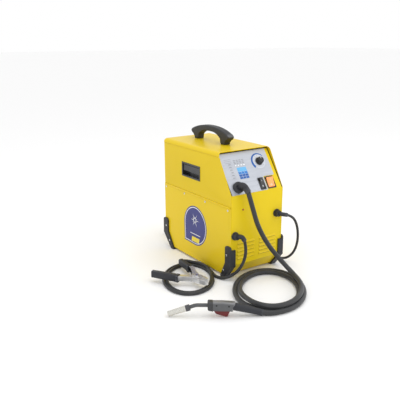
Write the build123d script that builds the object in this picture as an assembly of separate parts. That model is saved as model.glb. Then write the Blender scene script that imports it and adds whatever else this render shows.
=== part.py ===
"""A compact MIG welding machine: folded steel case, wire feeder, torch, earth clamp and mains lead.

Millimetres. +Z is up, the front faces -Y and +X is to the right of someone facing the front.
The origin is the centre of the base plate's underside, 7 mm above the floor.
"""
from build123d import *
import math
import os

os.makedirs("parts", exist_ok=True)

# Case
WIDTH = 220.0
DEPTH = 420.0
HEIGHT = 416.0
SHEET = 1.2
BREAK_Z = 284.0          # where the upright front turns into the slope
SLOPE_BACK = 76.0        # how far the cover's edge leans back from the break to the top
PANEL_BACK = 87.5        # the same for the control panel, which sinks under the cover's lip
PANEL_RISE = 126.0
FRONT_CHAMFER = (36.0, 45.0)   # depth, height
REAR_CHAMFER = (50.0, 50.0)
SEAM_Z = 244.0
DOOR_TOP_Z = 401.0
COVER_BEND = 14.0
BASE_BEND = 3.0
GAP = 0.3
FLOOR_Z = -7.0

# Hinge of the spool door
HINGE_X = -110.4
PIN_R = 1.1
KNUCKLE_R = 2.4
PIN_PLAY = 0.05
KNUCKLE_COUNT = 6
HINGE_INSET = 5.0
HINGE_Y = (-DEPTH / 2 + HINGE_INSET - 0.8, DEPTH / 2 - HINGE_INSET + 0.8)

LEFT = -WIDTH / 2
RIGHT = WIDTH / 2
FRONT = -DEPTH / 2
REAR = DEPTH / 2
PANEL = Plane(origin=(0, FRONT, BREAK_Z), x_dir=(1, 0, 0), z_dir=(0, -PANEL_RISE, PANEL_BACK))


def save(shape, name):
    """Write one node."""
    shape.label = name
    export_step(shape, f"parts/{name}.step")


def block(x, y, z):
    """A box between the given ends along each axis."""
    size = (x[1] - x[0], y[1] - y[0], z[1] - z[0])
    centre = ((x[0] + x[1]) / 2, (y[0] + y[1]) / 2, (z[0] + z[1]) / 2)
    return Pos(*centre) * Box(*size)


def rod(start, end, radius, end_radius=None):
    """A round bar or taper between two points."""
    first = Vector(*start)
    line = Vector(*end) - first
    plane = Plane(origin=first, z_dir=line)
    if end_radius is None or end_radius == radius:
        return extrude(plane * Circle(radius), amount=line.length)
    far = Plane(origin=Vector(*end), z_dir=line)
    return loft([plane * Circle(radius), far * Circle(end_radius)])


def prism(points, x):
    """A profile of (y, z) points carried along X."""
    face = make_face(Polyline(*[(x[0], y, z) for y, z in points], close=True))
    return extrude(face, amount=x[1] - x[0], dir=(1, 0, 0))


def slab(points, z):
    """A profile of (x, y) points carried along Z."""
    face = make_face(Polyline(*[(a, b, z[0]) for a, b in points], close=True))
    return extrude(face, amount=z[1] - z[0], dir=(0, 0, 1))


def strip_outline(points, thickness, side):
    """The outline of a strip: one edge follows the points, the other lies to side (+1 left, -1 right)."""
    inner = []
    for i, (u, v) in enumerate(points):
        before = points[max(i - 1, 0)]
        after = points[min(i + 1, len(points) - 1)]
        first = Vector(u - before[0], v - before[1]) if i else Vector(after[0] - u, after[1] - v)
        last = Vector(after[0] - u, after[1] - v) if i < len(points) - 1 else first
        a = first.normalized()
        b = last.normalized()
        normal = Vector(-a.Y - b.Y, a.X + b.X).normalized()
        reach = thickness / normal.dot(Vector(-a.Y, a.X))
        inner.append((u + side * normal.X * reach, v + side * normal.Y * reach))
    return points + inner[::-1]


def folded(points, x, thickness, side):
    """A folded sheet whose section in Y and Z follows the points."""
    return prism(strip_outline(points, thickness, side), x)


def channel(x, z, bends, thickness):
    """A cross-section sheet in X and Z, open at its unbent side, carried the length of the case."""
    outer = Rectangle(x[1] - x[0], z[1] - z[0])
    inner = Rectangle(x[1] - x[0] - 2 * thickness, z[1] - z[0])
    up = 1 if bends[0] == "bottom" else -1
    corners = outer.vertices().sort_by(Axis.Y)
    corners = corners[:2] if up > 0 else corners[-2:]
    outer = fillet(corners, bends[1])
    inner = Pos(0, up * thickness) * inner
    corners = inner.vertices().sort_by(Axis.Y)
    corners = corners[:2] if up > 0 else corners[-2:]
    inner = fillet(corners, bends[1] - thickness)
    place = Plane(origin=((x[0] + x[1]) / 2, FRONT, (z[0] + z[1]) / 2), x_dir=(1, 0, 0), z_dir=(0, -1, 0))
    return extrude(place * (outer - inner), amount=-DEPTH)


# ---------------------------------------------------------------- case


def case_outline(low, high):
    """The side view of the case between two heights, as (y, z) points."""
    if low < BREAK_Z - 100:
        return [(FRONT, FRONT_CHAMFER[1]), (FRONT + FRONT_CHAMFER[0], 0), (REAR - REAR_CHAMFER[0], 0),
                (REAR, REAR_CHAMFER[1]), (REAR, high), (FRONT, high)]
    lean = SLOPE_BACK * (high - BREAK_Z) / (HEIGHT - BREAK_Z)
    return [(FRONT, low), (FRONT, BREAK_Z), (FRONT + lean, high), (REAR, high), (REAR, low)]


def base_shell():
    """The lower shell: base plate and both lower sides, folded from one sheet."""
    shell = channel((LEFT, RIGHT), (0, SEAM_Z - 0.4), ("bottom", BASE_BEND), SHEET)
    shell &= prism(case_outline(0, SEAM_Z - 0.4), (LEFT, RIGHT))
    hinge_side = block((LEFT - 1, LEFT + 5), HINGE_Y, (SEAM_Z - KNUCKLE_R - 0.4, SEAM_Z))
    return shell - hinge_side


def top_cover():
    """Top and right side, with a short drop on the left that the door closes against."""
    cover = channel((LEFT, RIGHT), (SEAM_Z + 0.4, HEIGHT), ("top", COVER_BEND), SHEET)
    cover &= prism(case_outline(SEAM_Z + 0.4, HEIGHT), (LEFT, RIGHT))
    cover -= block((LEFT - 1, LEFT + 5), (FRONT - 1, REAR + 1), (SEAM_Z, DOOR_TOP_Z + 1))
    ledge = block((LEFT + 0.5, LEFT + 2.8), (FRONT + 80, REAR - 3), (DOOR_TOP_Z + 1, DOOR_TOP_Z + 3))
    lip = block((LEFT + 1.6, LEFT + 2.8), (FRONT + 80, REAR - 3), (DOOR_TOP_Z - 8, DOOR_TOP_Z + 3))
    return cover + ledge + lip


def interior():
    """The room inside the folded sheets, which trims the panels' corners to the bends."""
    low = SHEET
    high = HEIGHT - SHEET
    outline = Rectangle(WIDTH - 2 * (SHEET + GAP), high - low)
    corners = outline.vertices().sort_by(Axis.Y)
    outline = fillet(corners[-2:], COVER_BEND - SHEET)
    outline = fillet(outline.vertices().sort_by(Axis.Y)[:2], BASE_BEND - SHEET)
    place = Plane(origin=(0, FRONT - 10, (low + high) / 2), x_dir=(1, 0, 0), z_dir=(0, -1, 0))
    return extrude(place * outline, amount=-DEPTH - 20)


def on_panel(x, along, out=0.0):
    """A place on the control panel: across, up the slope and out of it."""
    return Plane(origin=PANEL.from_local_coords((x, along, out)), x_dir=PANEL.x_dir, z_dir=PANEL.z_dir)


KNOB = (50.0, 105.0)
POWER_SWITCH = (65.0, 25.5)
SELECTOR = (27.5, 25.5)
POWER_SIZE = (35.0, 43.0)
SELECTOR_SIZE = (22.0, 43.0)
TORCH_OUTLET = (-74.0, 25.0)
OUTLET_R = 19.0
GROUND_OUTLET = (-94.0, 148.0)      # x, z on the upright front
MAINS_OUTLET = (84.0, 197.0)
SOCKET_R = 9.0
LOUVRE_ROWS = 5
LOUVRE_PITCH = 13.4
LOUVRE_LOW_Z = 65.0
LOUVRE_COLUMNS = ((-83.0, -11.0), (10.0, 82.0))


def louvre_cuts():
    """The slots under the louvre hoods."""
    cuts = []
    for x in LOUVRE_COLUMNS:
        for row in range(LOUVRE_ROWS):
            z = LOUVRE_LOW_Z + row * LOUVRE_PITCH
            cuts.append(block((x[0] + 1, x[1] - 1), (FRONT - 1, FRONT + 2), (z - 1.6, z + 1.8)))
    return cuts


def louvre_hoods():
    """The pressed hoods over the slots."""
    hoods = []
    for x in LOUVRE_COLUMNS:
        for row in range(LOUVRE_ROWS):
            z = LOUVRE_LOW_Z + row * LOUVRE_PITCH
            hood = prism([(FRONT + 0.4, z + 5.4), (FRONT - 0.4, z + 5.0), (FRONT - 3.6, z - 1.0),
                          (FRONT - 2.8, z - 1.4), (FRONT + 0.4, z + 3.4)], x)
            for end in (x[0], x[1] - 1.0):
                hood += prism([(FRONT + 0.4, z + 5.2), (FRONT - 0.4, z + 4.9), (FRONT - 3.4, z - 1.2),
                               (FRONT + 0.4, z - 1.2)], (end, end + 1.0))
            hoods.append(hood)
    return hoods


def front_panel():
    """The front sheet: flange on the base, chamfer, upright face with louvres, and the panel slope."""
    top_y = FRONT + PANEL_BACK * (HEIGHT - SHEET * 2 - BREAK_Z) / PANEL_RISE
    slant = FRONT_CHAMFER[0] / FRONT_CHAMFER[1]
    path = [(FRONT + 60, SHEET), (FRONT + FRONT_CHAMFER[0] - slant * SHEET, SHEET),
            (FRONT, FRONT_CHAMFER[1]), (FRONT, BREAK_Z), (top_y, HEIGHT - SHEET * 2),
            (top_y + 20, HEIGHT - SHEET * 2)]
    x = (LEFT + SHEET + GAP, RIGHT - SHEET - GAP)
    panel = folded(path, x, SHEET, -1)
    panel += louvre_hoods()
    panel -= louvre_cuts()
    for place, radius in ((TORCH_OUTLET, OUTLET_R - 5), (KNOB, 5.0)):
        panel -= extrude(on_panel(*place, 5) * Circle(radius), amount=-15)
    for place, size in ((POWER_SWITCH, POWER_SIZE), (SELECTOR, SELECTOR_SIZE)):
        panel -= extrude(on_panel(*place, 5) * Rectangle(size[0] - 4, size[1] - 4), amount=-15)
    for x_, z_ in (GROUND_OUTLET, MAINS_OUTLET):
        panel -= rod((x_, FRONT - 2, z_), (x_, FRONT + 4, z_), SOCKET_R)
    return panel & interior()


FAN = (40.0, 120.0)     # x, z of the fan's axis
FAN_R = 55.0


def rear_panel():
    """The rear sheet with its chamfer and the fan's rings of slots."""
    slant = REAR_CHAMFER[0] / REAR_CHAMFER[1]
    path = [(REAR - 75, SHEET), (REAR - REAR_CHAMFER[0] + slant * SHEET, SHEET), (REAR, REAR_CHAMFER[1]),
            (REAR, HEIGHT - SHEET * 2), (REAR - 20, HEIGHT - SHEET * 2)]
    panel = folded(path, (LEFT + SHEET + GAP, RIGHT - SHEET - GAP), SHEET, 1)
    slot = Rot(90, 0, 0) * extrude(SlotOverall(9.0, 4.2), amount=4, both=True)
    slots = []
    for ring, count in ((15.0, 8), (27.0, 14), (39.0, 20), (50.0, 26)):
        for i in range(count):
            slots.append(Pos(FAN[0], REAR, FAN[1]) * Rot(0, 360 * i / count, 0) * Pos(ring, 0, 0) * slot)
    return (panel & interior()) - slots


LATCH_Y = (-31.0, 85.0)
LATCH_Z = (298.0, 350.0)


def knuckles(which):
    """Every second knuckle of the piano hinge, which 0 for the door and 1 for the case."""
    rolls = Part()
    first = FRONT + HINGE_INSET
    step = (DEPTH - 2 * HINGE_INSET) / KNUCKLE_COUNT
    for i in range(which, KNUCKLE_COUNT, 2):
        y = first + i * step
        rolls += rod((HINGE_X, y + GAP, SEAM_Z), (HINGE_X, y + step - GAP, SEAM_Z), KNUCKLE_R)
        z = (SEAM_Z, SEAM_Z + 8) if which == 0 else (SEAM_Z - 8, SEAM_Z)
        rolls += block((LEFT + SHEET, LEFT + SHEET + 0.8), (y + GAP, y + step - GAP), z)
    bore = rod((HINGE_X, FRONT, SEAM_Z), (HINGE_X, REAR, SEAM_Z), PIN_R + PIN_PLAY)
    return rolls - bore


def side_door():
    """The upper left side: a flat panel with the hinge rolled on its lower edge and a latch opening."""
    low = SEAM_Z + KNUCKLE_R + 0.4
    panel = prism(case_outline(SEAM_Z + 0.4, DOOR_TOP_Z), (LEFT, LEFT + SHEET))
    panel -= block((LEFT - 1, LEFT + 3), HINGE_Y, (SEAM_Z, low))
    leaf = block((LEFT + SHEET, LEFT + SHEET + 0.8), (FRONT + 15, REAR - 15), (low, low + 14))
    rear_fold = block((LEFT, LEFT + 10), (REAR - 3.5, REAR - 2.3), (low + 16, DOOR_TOP_Z - 10))
    panel -= block((LEFT - 1, LEFT + 4), (REAR - 2.3, REAR + 1), (low - 1, DOOR_TOP_Z + 1))
    door = panel + leaf + rear_fold + knuckles(0)
    opening = block((LEFT - 5, LEFT + 5), (LATCH_Y[0] + 4, LATCH_Y[1] - 4), (LATCH_Z[0] + 4, LATCH_Z[1] - 4))
    return door - opening


def hinge_leaf():
    """The leaf of the piano hinge that is screwed inside the lower shell."""
    leaf = block((LEFT + SHEET, LEFT + SHEET + 0.8), (FRONT + 15, REAR - 15), (SEAM_Z - 22, SEAM_Z - 3))
    return leaf + knuckles(1)


def hinge_pin():
    """The wire pin through every knuckle."""
    return rod((HINGE_X, FRONT + HINGE_INSET, SEAM_Z), (HINGE_X, REAR - HINGE_INSET, SEAM_Z), PIN_R)


PADDLE_AXIS = (LEFT + 3.0, LATCH_Z[1] - 10.0)     # x, z of the paddle's pivot
LATCH_DEPTH = 17.0
BOLT_X = (LEFT + 5.6, LEFT + 8.6)


def latch_cup():
    """The flush cup in the door: a thin bezel outside and a finger well behind it."""
    bezel = block((LEFT - 1.5, LEFT), LATCH_Y, LATCH_Z)
    y = (LATCH_Y[0] + 4.3, LATCH_Y[1] - 4.3)
    z = (LATCH_Z[0] + 4.3, LATCH_Z[1] - 4.3)
    well = block((LEFT - 0.5, LEFT + LATCH_DEPTH), y, z)
    hollow = block((LEFT - 5, LEFT + LATCH_DEPTH - 1.6), (y[0] + 1.6, y[1] - 1.6), (z[0] + 1.6, z[1] - 1.6))
    middle = (LATCH_Y[0] + LATCH_Y[1]) / 2
    bolt_slot = block((BOLT_X[0] - 0.4, BOLT_X[1] + 0.4), (middle - 9.4, middle + 9.4), (z[1] - 2, z[1] + 1))
    return bezel + well - hollow - bolt_slot


def latch_paddle():
    """The flap in the cup, hung from its top edge, that a finger pulls to draw the bolt."""
    x, z = PADDLE_AXIS
    y = (LATCH_Y[0] + 6.4, LATCH_Y[1] - 6.4)
    flap = block((x - 1.6, x + 0.8), y, (LATCH_Z[0] + 22, z))
    return flap + rod((x, y[0], z), (x, y[1], z), 2.2)


def latch_bolt():
    """The bar inside the door that rises behind the cover's lip."""
    middle = (LATCH_Y[0] + LATCH_Y[1]) / 2
    return block(BOLT_X, (middle - 9, middle + 9), (LATCH_Z[1] - 3.9, DOOR_TOP_Z - 8.5))


def inner_partition():
    """The wall between the wire side and the power side, standing on a shelf over the transformer."""
    shelf_z = SEAM_Z - 24
    wall = block((-12.0, -12.0 + SHEET), (FRONT + 200, REAR - 12), (shelf_z, HEIGHT - 8))
    shelf = block((LEFT + 4, -12.0 + SHEET), (FRONT + 40, REAR - 12), (shelf_z, shelf_z + SHEET))
    foot = block((-12.0, 20.0), (FRONT + 200, REAR - 12), (shelf_z, shelf_z + SHEET))
    return wall + shelf + foot


def control_plate():
    """The printed plate on the slope, notched round the power switch."""
    outline = [(-106, 1.5), (45, 1.5), (45, 50), (92, 50), (92, 151), (-106, 151)]
    face = make_face(Polyline(*outline, close=True))
    face = fillet(face.vertices(), 2.0)
    plate = extrude(on_panel(0, 0, 0) * face, amount=1.0)
    plate -= extrude(on_panel(*TORCH_OUTLET, -1) * Circle(OUTLET_R - 5), amount=5)
    plate -= extrude(on_panel(*KNOB, -1) * Circle(5.0), amount=5)
    plate -= extrude(on_panel(*SELECTOR, -1) * Rectangle(SELECTOR_SIZE[0] - 4, SELECTOR_SIZE[1] - 4), amount=5)
    return plate


HANDLE_Y = (-62.0, 172.0)     # ends of the grip
HANDLE_TOP = HEIGHT + 57.0


def top_handle():
    """The arched carrying handle: two feet and a grip that overhangs them."""
    front, rear = HANDLE_Y
    middle = (front + rear) / 2
    outer = [(front + 24, HEIGHT), (front + 14, HEIGHT + 20), (front, HEIGHT + 28), (front + 4, HEIGHT + 36),
             (middle - 60, HANDLE_TOP - 10), (middle - 20, HANDLE_TOP), (middle + 20, HANDLE_TOP),
             (middle + 60, HANDLE_TOP - 10), (rear - 4, HEIGHT + 36), (rear, HEIGHT + 28),
             (rear - 14, HEIGHT + 20), (rear - 24, HEIGHT), (rear - 47, HEIGHT), (rear - 49, HEIGHT + 24),
             (middle + 28, HEIGHT + 38), (middle - 28, HEIGHT + 38), (front + 49, HEIGHT + 24),
             (front + 47, HEIGHT)]
    grip = prism(outer, (-14.0, 14.0))
    tops = grip.edges().filter_by(Axis.X).sort_by(Axis.Z)[-4:]
    return fillet(tops, 4.0)


BUMPER = 6.0              # how far the rubber stands off the case
BUMPER_SIDE = 25.0        # width of the leg on the side
BUMPER_FACE = 16.0        # width of the leg on the front or back
SOLE = 12.0
CROWN_R = 9.0


def crown(far, near, high):
    """The rounded top of a bumper's leg, from its far edge over to its near edge."""
    step = math.copysign(CROWN_R, near - far)
    points = []
    for centre, start in ((far + step, 0), (near - step, 90)):
        for turn in range(start, start + 91, 18):
            t = math.radians(turn)
            points.append((centre - step * math.cos(t), high - CROWN_R + CROWN_R * math.sin(t)))
    return points


def corner_bumper(toward, outline, high):
    """One corner bumper: an angle of rubber down the corner and under the chamfer to its sole."""
    (edge, bend_z), (foot, _) = outline
    inward = 1 if toward < 0 else -1
    reach = inward * BUMPER_SIDE
    sole = (foot + inward * SOLE, FLOOR_Z)
    proud = edge - inward * BUMPER
    outer = [(proud, bend_z - 3), (foot - inward * 4, FLOOR_Z), sole,
             (foot + inward * (SOLE + 3), FLOOR_Z + 4), (edge + reach, bend_z + 6),
             *crown(edge + reach, proud, high)]
    side = prism(outer, (LEFT - BUMPER, LEFT))
    face = prism([(proud, high - 12), (proud, bend_z - 3), (foot - inward * 4, FLOOR_Z), sole,
                  (foot + inward * SOLE, 0), (foot, 0), (edge, bend_z), (edge, high - 12)],
                 (LEFT - BUMPER, LEFT + BUMPER_FACE))
    return side + face


def corner_bumpers():
    """The four corner bumpers, which are also the feet."""
    front = corner_bumper(-1, [(FRONT, FRONT_CHAMFER[1]), (FRONT + FRONT_CHAMFER[0], 0)], 112.0)
    rear = corner_bumper(1, [(REAR, REAR_CHAMFER[1]), (REAR - REAR_CHAMFER[0], 0)], 108.0)
    return Part() + [front, rear, mirror(front, about=Plane.YZ), mirror(rear, about=Plane.YZ)]


BUMPER_SCREWS = [(FRONT + 15, 80.0), (FRONT + 32, 22.0), (REAR - 15, 78.0), (REAR - 38, 24.0)]
SEAM_SCREWS = (-192.0, -62.0, 71.0, 198.0)
SCREW_Z = SEAM_Z - 11
SCREW_R = 3.6


def screw(place, direction, length=8.0):
    """A pan-head screw whose head stands on the face at place."""
    out = Vector(*direction)
    seat = Vector(*place)
    head = rod(seat, seat + out * 1.4, SCREW_R) + rod(seat + out * 1.4, seat + out * 2.2, SCREW_R, SCREW_R - 1.2)
    return head + rod(seat, seat - out * length, 1.9)


def panel_screws():
    """Every pan-head screw on the outside: bumpers, seam, rear and the cover's right side."""
    screws = []
    for side in (-1, 1):
        out = (side, 0, 0)
        for y, z in BUMPER_SCREWS:
            screws.append(screw((side * (RIGHT + BUMPER), y, z), out))
        for y in SEAM_SCREWS:
            screws.append(screw((side * RIGHT, y, SCREW_Z), out))
    for y in SEAM_SCREWS[:2] + (198.0,):
        screws.append(screw((RIGHT, y, SEAM_Z + 12), (1, 0, 0)))
    for x in (-90.0, 90.0):
        for z in (90.0, 235.0, 395.0):
            screws.append(screw((x, REAR, z), (0, 1, 0)))
    return Part() + screws


KNOB_SHAFT_R = 3.0


def speed_knob():
    """The wire speed knob with its skirt, pointer flat and shaft."""
    place = on_panel(*KNOB, 0)
    knob = extrude(place * Pos(0, 0, 1.4) * Circle(14.0), amount=3.0)
    top = extrude(place * Pos(0, 0, 4.0) * Circle(12.0), amount=14.0, taper=4)
    pointer = place * Pos(0, 9.0, 17.6) * Box(1.6, 8.0, 1.6)
    shaft = extrude(place * Pos(0, 0, -12) * Circle(KNOB_SHAFT_R), amount=15)
    return knob + top + pointer + shaft


def potentiometer():
    """The speed control behind the panel, round the knob's shaft."""
    place = on_panel(*KNOB, 0)
    body = extrude(place * Pos(0, 0, -SHEET - 16) * Circle(11.0), amount=16.0)
    bush = extrude(place * Pos(0, 0, -SHEET - 1) * Circle(4.7), amount=1.9)
    lugs = place * Pos(0, -13.0, -SHEET - 8) * Box(12.0, 6.0, 1.2)
    bore = extrude(place * Pos(0, 0, -14) * Circle(KNOB_SHAFT_R + 0.1), amount=20)
    return body + bush + lugs - bore


TRUNNION_R = 1.6


def rocker_axle(centre, radius, half):
    """The round axis that a rocker turns on, level with the panel under its bezel."""
    base = 0.0 if centre == POWER_SWITCH else 1.0
    start = PANEL.from_local_coords((centre[0] - half, centre[1], base))
    end = PANEL.from_local_coords((centre[0] + half, centre[1], base))
    return rod(start, end, radius)


def switch_frame(centre, size, depth):
    """A rocker switch's bezel and body, hollow under the rocker."""
    base = 0.0 if centre == POWER_SWITCH else 1.0
    place = on_panel(*centre, base)
    bezel = extrude(place * fillet(Rectangle(*size).vertices(), 2.0), amount=2.6)
    body = extrude(place * Rectangle(size[0] - 5, size[1] - 5), amount=-depth)
    well = extrude(place * Pos(0, 0, -9.0) * Rectangle(size[0] - 7, size[1] - 7), amount=20)
    return bezel + body - well - rocker_axle(centre, TRUNNION_R + 0.08, size[0] / 2 - 2.4)


ROCKER_TILT = 10.0


def rocker(centre, size):
    """A rocker that lies tilted one way in its bezel and swings to the other."""
    base = 0.0 if centre == POWER_SWITCH else 1.0
    half = size[1] / 2 - 4.2
    lean = math.tan(math.radians(ROCKER_TILT)) * half
    outline = [(-half, 1.2 - lean), (0, -3.0), (half, 1.2 + lean), (half - 0.8, 4.2 + lean), (0, 3.4),
               (-half + 0.8, 5.0 - lean)]
    plane = Plane(origin=PANEL.from_local_coords((centre[0] - size[0] / 2 + 4.2, centre[1], base)),
                  x_dir=PANEL.y_dir, z_dir=PANEL.x_dir)
    key = extrude(plane * make_face(Polyline(*outline, close=True)), amount=size[0] - 8.4)
    return key + rocker_axle(centre, TRUNNION_R, size[0] / 2 - 2.7)


# ---------------------------------------------------------------- outlets on the front


def bent_rod(points, radii, radius):
    """A round bar along straight runs joined by arcs."""
    path = FilletPolyline(*points, radius=radii)
    start = Plane(origin=path @ 0, z_dir=path % 0)
    return sweep(start * Circle(radius), path=path)


HOSE_R = 8.0
CABLE_R = 5.25
LEAD_R = 4.5
HOSE_EXIT = (-62.0, -236.0, 298.0)
CABLE_EXIT = (-76.0, -239.0, 137.0)
LEAD_EXIT = (112.0, -234.0, 190.0)


def torch_outlet():
    """The round boss on the panel with the elbow that turns the hose downwards."""
    boss = extrude(on_panel(*TORCH_OUTLET, 1.0) * Circle(OUTLET_R), amount=13.0)
    boss = fillet(boss.edges().filter_by(GeomType.CIRCLE).sort_by(lambda e: PANEL.to_local_coords(e.center()).Z)[-1], 4)
    spigot = extrude(on_panel(*TORCH_OUTLET, 2.0) * Circle(OUTLET_R - 5.3), amount=-16.0)
    start = PANEL.from_local_coords((*TORCH_OUTLET, 10.0))
    corner = PANEL.from_local_coords((*TORCH_OUTLET, 35.0))
    return boss + spigot + bent_rod([start, corner, HOSE_EXIT], 12.0, HOSE_R + 2.0)


def socket(place, exit_point, corner, radius, grip):
    """A lead's strain relief: a flange on the front, a body and a bend towards the lead."""
    x, z = place
    flange = rod((x, FRONT, z), (x, FRONT - 4, z), SOCKET_R + 5.0)
    body = rod((x, FRONT - 4, z), (x, FRONT - 16, z), SOCKET_R + 3.0, SOCKET_R + 1.5)
    nut = rod((x, FRONT, z), (x, FRONT + 10, z), SOCKET_R - 0.3)
    neck = bent_rod([(x, FRONT - 6, z), corner, exit_point], grip, radius)
    return flange + body + nut + neck


def ground_gland():
    """The strain relief of the earth cable."""
    x, z = GROUND_OUTLET
    return socket(GROUND_OUTLET, CABLE_EXIT, (x + 9, FRONT - 27, z + 3), CABLE_R + 2.6, 8.0)


def mains_gland():
    """The strain relief of the mains lead."""
    x, z = MAINS_OUTLET
    return socket(MAINS_OUTLET, LEAD_EXIT, (x + 3, FRONT - 24, z), LEAD_R + 2.6, 12.0)


# ---------------------------------------------------------------- inside, power side

CORE = ((-58.0, 52.0), (-60.0, 50.0), (6.0, 106.0))
LEG = 26.0
MIDDLE_LEG = (-12.0, 6.0)


def transformer_core():
    """The laminated E-I core on its two feet."""
    core = block(*CORE)
    for x in ((CORE[0][0] + LEG, MIDDLE_LEG[0]), (MIDDLE_LEG[1], CORE[0][1] - LEG)):
        core -= block(x, (CORE[1][0] - 1, CORE[1][1] + 1), (CORE[2][0] + LEG, CORE[2][1] - LEG))
    for y in ((CORE[1][0] + 6, CORE[1][0] + 26), (CORE[1][1] - 26, CORE[1][1] - 6)):
        core += block((CORE[0][0] - 16, CORE[0][1] + 16), y, (SHEET + 0.2, CORE[2][0]))
    return core


def transformer_windings():
    """Primary and secondary coils round the core's middle leg."""
    leg = MIDDLE_LEG
    coils = []
    for z, grow in (((CORE[2][0] + LEG + 1, 54.5), 11.0), ((57.5, CORE[2][1] - LEG - 1), 10.0)):
        y = (CORE[1][0] - grow, CORE[1][1] + grow)
        ring = block((leg[0] - 14, leg[1] + 14), y, z)
        ring = fillet(ring.edges().filter_by(Axis.Z), 6.0)
        ring -= block((leg[0] - 0.4, leg[1] + 0.4), (CORE[1][0] - 0.4, CORE[1][1] + 0.4), (z[0] - 1, z[1] + 1))
        coils.append(ring)
    return Part() + coils


def rectifier():
    """The finned heat sink with its row of diodes, on the base behind the front louvres."""
    sink = block((-85.0, 60.0), (-140.0, -136.0), (SHEET + 0.2, 100.0))
    for i in range(10):
        x = -85.0 + i * 15.6
        sink += block((x, x + 2.0), (-136.0, -108.0), (SHEET + 0.2, 100.0))
    for i in range(4):
        sink += rod((-64.0 + i * 34, -140.0, 60.0), (-64.0 + i * 34, -150.0, 60.0), 7.0)
    return sink


def control_board():
    """The circuit board on the power side, with its relay and capacitors."""
    board = block((30.0, 31.6), (0.0, 150.0), (255.0, 385.0))
    board += block((31.6, 52.0), (80.0, 110.0), (300.0, 325.0))
    for y in (30.0, 60.0):
        board += rod((31.6, y, 360.0), (62.0, y, 360.0), 11.0)
    for y, z in ((8.0, 262.0), (142.0, 262.0), (8.0, 378.0), (142.0, 378.0)):
        board += rod((30.0, y, z), (-12.0 + SHEET, y, z), 3.0)
    return board


def fan_frame():
    """The fan's square duct, its motor and the arms that hold it, on the rear panel."""
    x, z = FAN
    outer = (FAN_R + 7)
    frame = block((x - outer, x + outer), (REAR - 36, REAR - SHEET - 0.3), (z - outer, z + outer))
    frame -= rod((x, REAR - 40, z), (x, REAR + 2, z), FAN_R + 3)
    frame += rod((x, REAR - 10, z), (x, REAR - SHEET - 0.3, z), 18.0)
    arm = block((x, x + FAN_R + 5), (REAR - 7, REAR - SHEET - 0.3), (z - 3, z + 3))
    for i in range(3):
        frame += Pos(x, 0, z) * Rot(0, 120 * i + 30, 0) * Pos(-x, 0, -z) * arm
    return frame + rod((x, REAR - 33, z), (x, REAR - 8, z), 2.0)


def fan_blades():
    """The fan wheel: a hub with seven pitched blades."""
    x, z = FAN
    hub = rod((x, REAR - 34, z), (x, REAR - 11, z), 17.0) - rod((x, REAR - 40, z), (x, REAR, z), 2.05)
    blade = Pos(x + 34, REAR - 22, z) * Rot(38, 0, 0) * Box(40.0, 2.0, 22.0)
    wheel = [hub]
    for i in range(7):
        wheel.append(Pos(x, 0, z) * Rot(0, 360 * i / 7, 0) * Pos(-x, 0, -z) * blade)
    return (Part() + wheel) & rod((x, REAR - 35, z), (x, REAR - 10.5, z), FAN_R)


# ---------------------------------------------------------------- wire feeder

SHELF_Z = SEAM_Z - 24 + SHEET
PLATE_X = (-50.0, -46.0)
DRIVE = (-80.0, 285.0, 15.0)          # y, z, radius of the drive roller
WIRE = 0.8
IDLER_R = 9.0
IDLER = (-80.0, DRIVE[1] + DRIVE[2] + WIRE + IDLER_R)
ROLLER_X = (-62.5, -51.0)
ARM_X = (-68.0, -63.5)
ARM_PIVOT = (-50.0, 318.0)
BOLT_PIVOT = (-108.0, 290.0)
SPOOL = (110.0, 318.0)                # y, z of the spool's axis
SPOOL_R = 50.0
SPOOL_X = (-74.0, -30.0)
BORE_R = 8.25
DRUM_R = 25.0
WIRE_TOP_R = 44.0


def axial(place, x, radius):
    """A round bar along X about a (y, z) axis."""
    return rod((x[0], *place), (x[1], *place), radius)


def feed_motor():
    """The wire feed motor with its gearbox and output shaft."""
    y, z, _ = DRIVE
    gearbox = block((PLATE_X[1], -26.0), (y - 20, y + 20), (z - 23, z + 23))
    return gearbox + axial((y, z), (-26.0, 26.0), 17.0) + axial((y, z), (-66.0, PLATE_X[1]), 3.95)


def feed_plate():
    """The upright plate of the feeder, with its foot, pivot studs and wire guides."""
    line = DRIVE[1] + DRIVE[2] + WIRE / 2
    mid = (ROLLER_X[0] + ROLLER_X[1]) / 2
    plate = block(PLATE_X, (-118.0, -42.0), (SHELF_Z, 345.0))
    plate += block((PLATE_X[0], -28.0), (-118.0, -42.0), (SHELF_Z, SHELF_Z + 3))
    plate -= axial(DRIVE[:2], (PLATE_X[0] - 1, PLATE_X[1] + 1), 4.0)
    plate += axial(ARM_PIVOT, (-71.0, PLATE_X[0]), 2.95)
    plate += axial(BOLT_PIVOT, (-71.0, PLATE_X[0]), 2.45)
    for y in ((-61.0, -43.0), (-170.0, -100.0)):
        guide = rod((mid, y[0], line), (mid, y[1], line), 2.4) - rod((mid, y[0] - 1, line), (mid, y[1] + 1, line), 1.0)
        near = (-57.0, -46.0) if y[0] == -61.0 else (-108.0, -100.5)
        plate += block((mid - 3, PLATE_X[0]), near, (line - 4, line + 4)) + guide
        plate -= rod((mid, near[0] - 1, line), (mid, near[1] + 1, line), 1.0)
    return plate


def drive_roller():
    """The grooved, knurled roller on the motor's shaft."""
    y, z, radius = DRIVE
    wheel = axial((y, z), (ROLLER_X[0], ROLLER_X[1]), radius) - axial((y, z), (-70.0, -40.0), 4.0)
    middle = (ROLLER_X[0] + ROLLER_X[1]) / 2
    groove = axial((y, z), (middle - 0.6, middle + 0.6), radius + 1) - axial((y, z), (-70.0, -40.0), radius - 0.5)
    return wheel - groove


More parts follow.
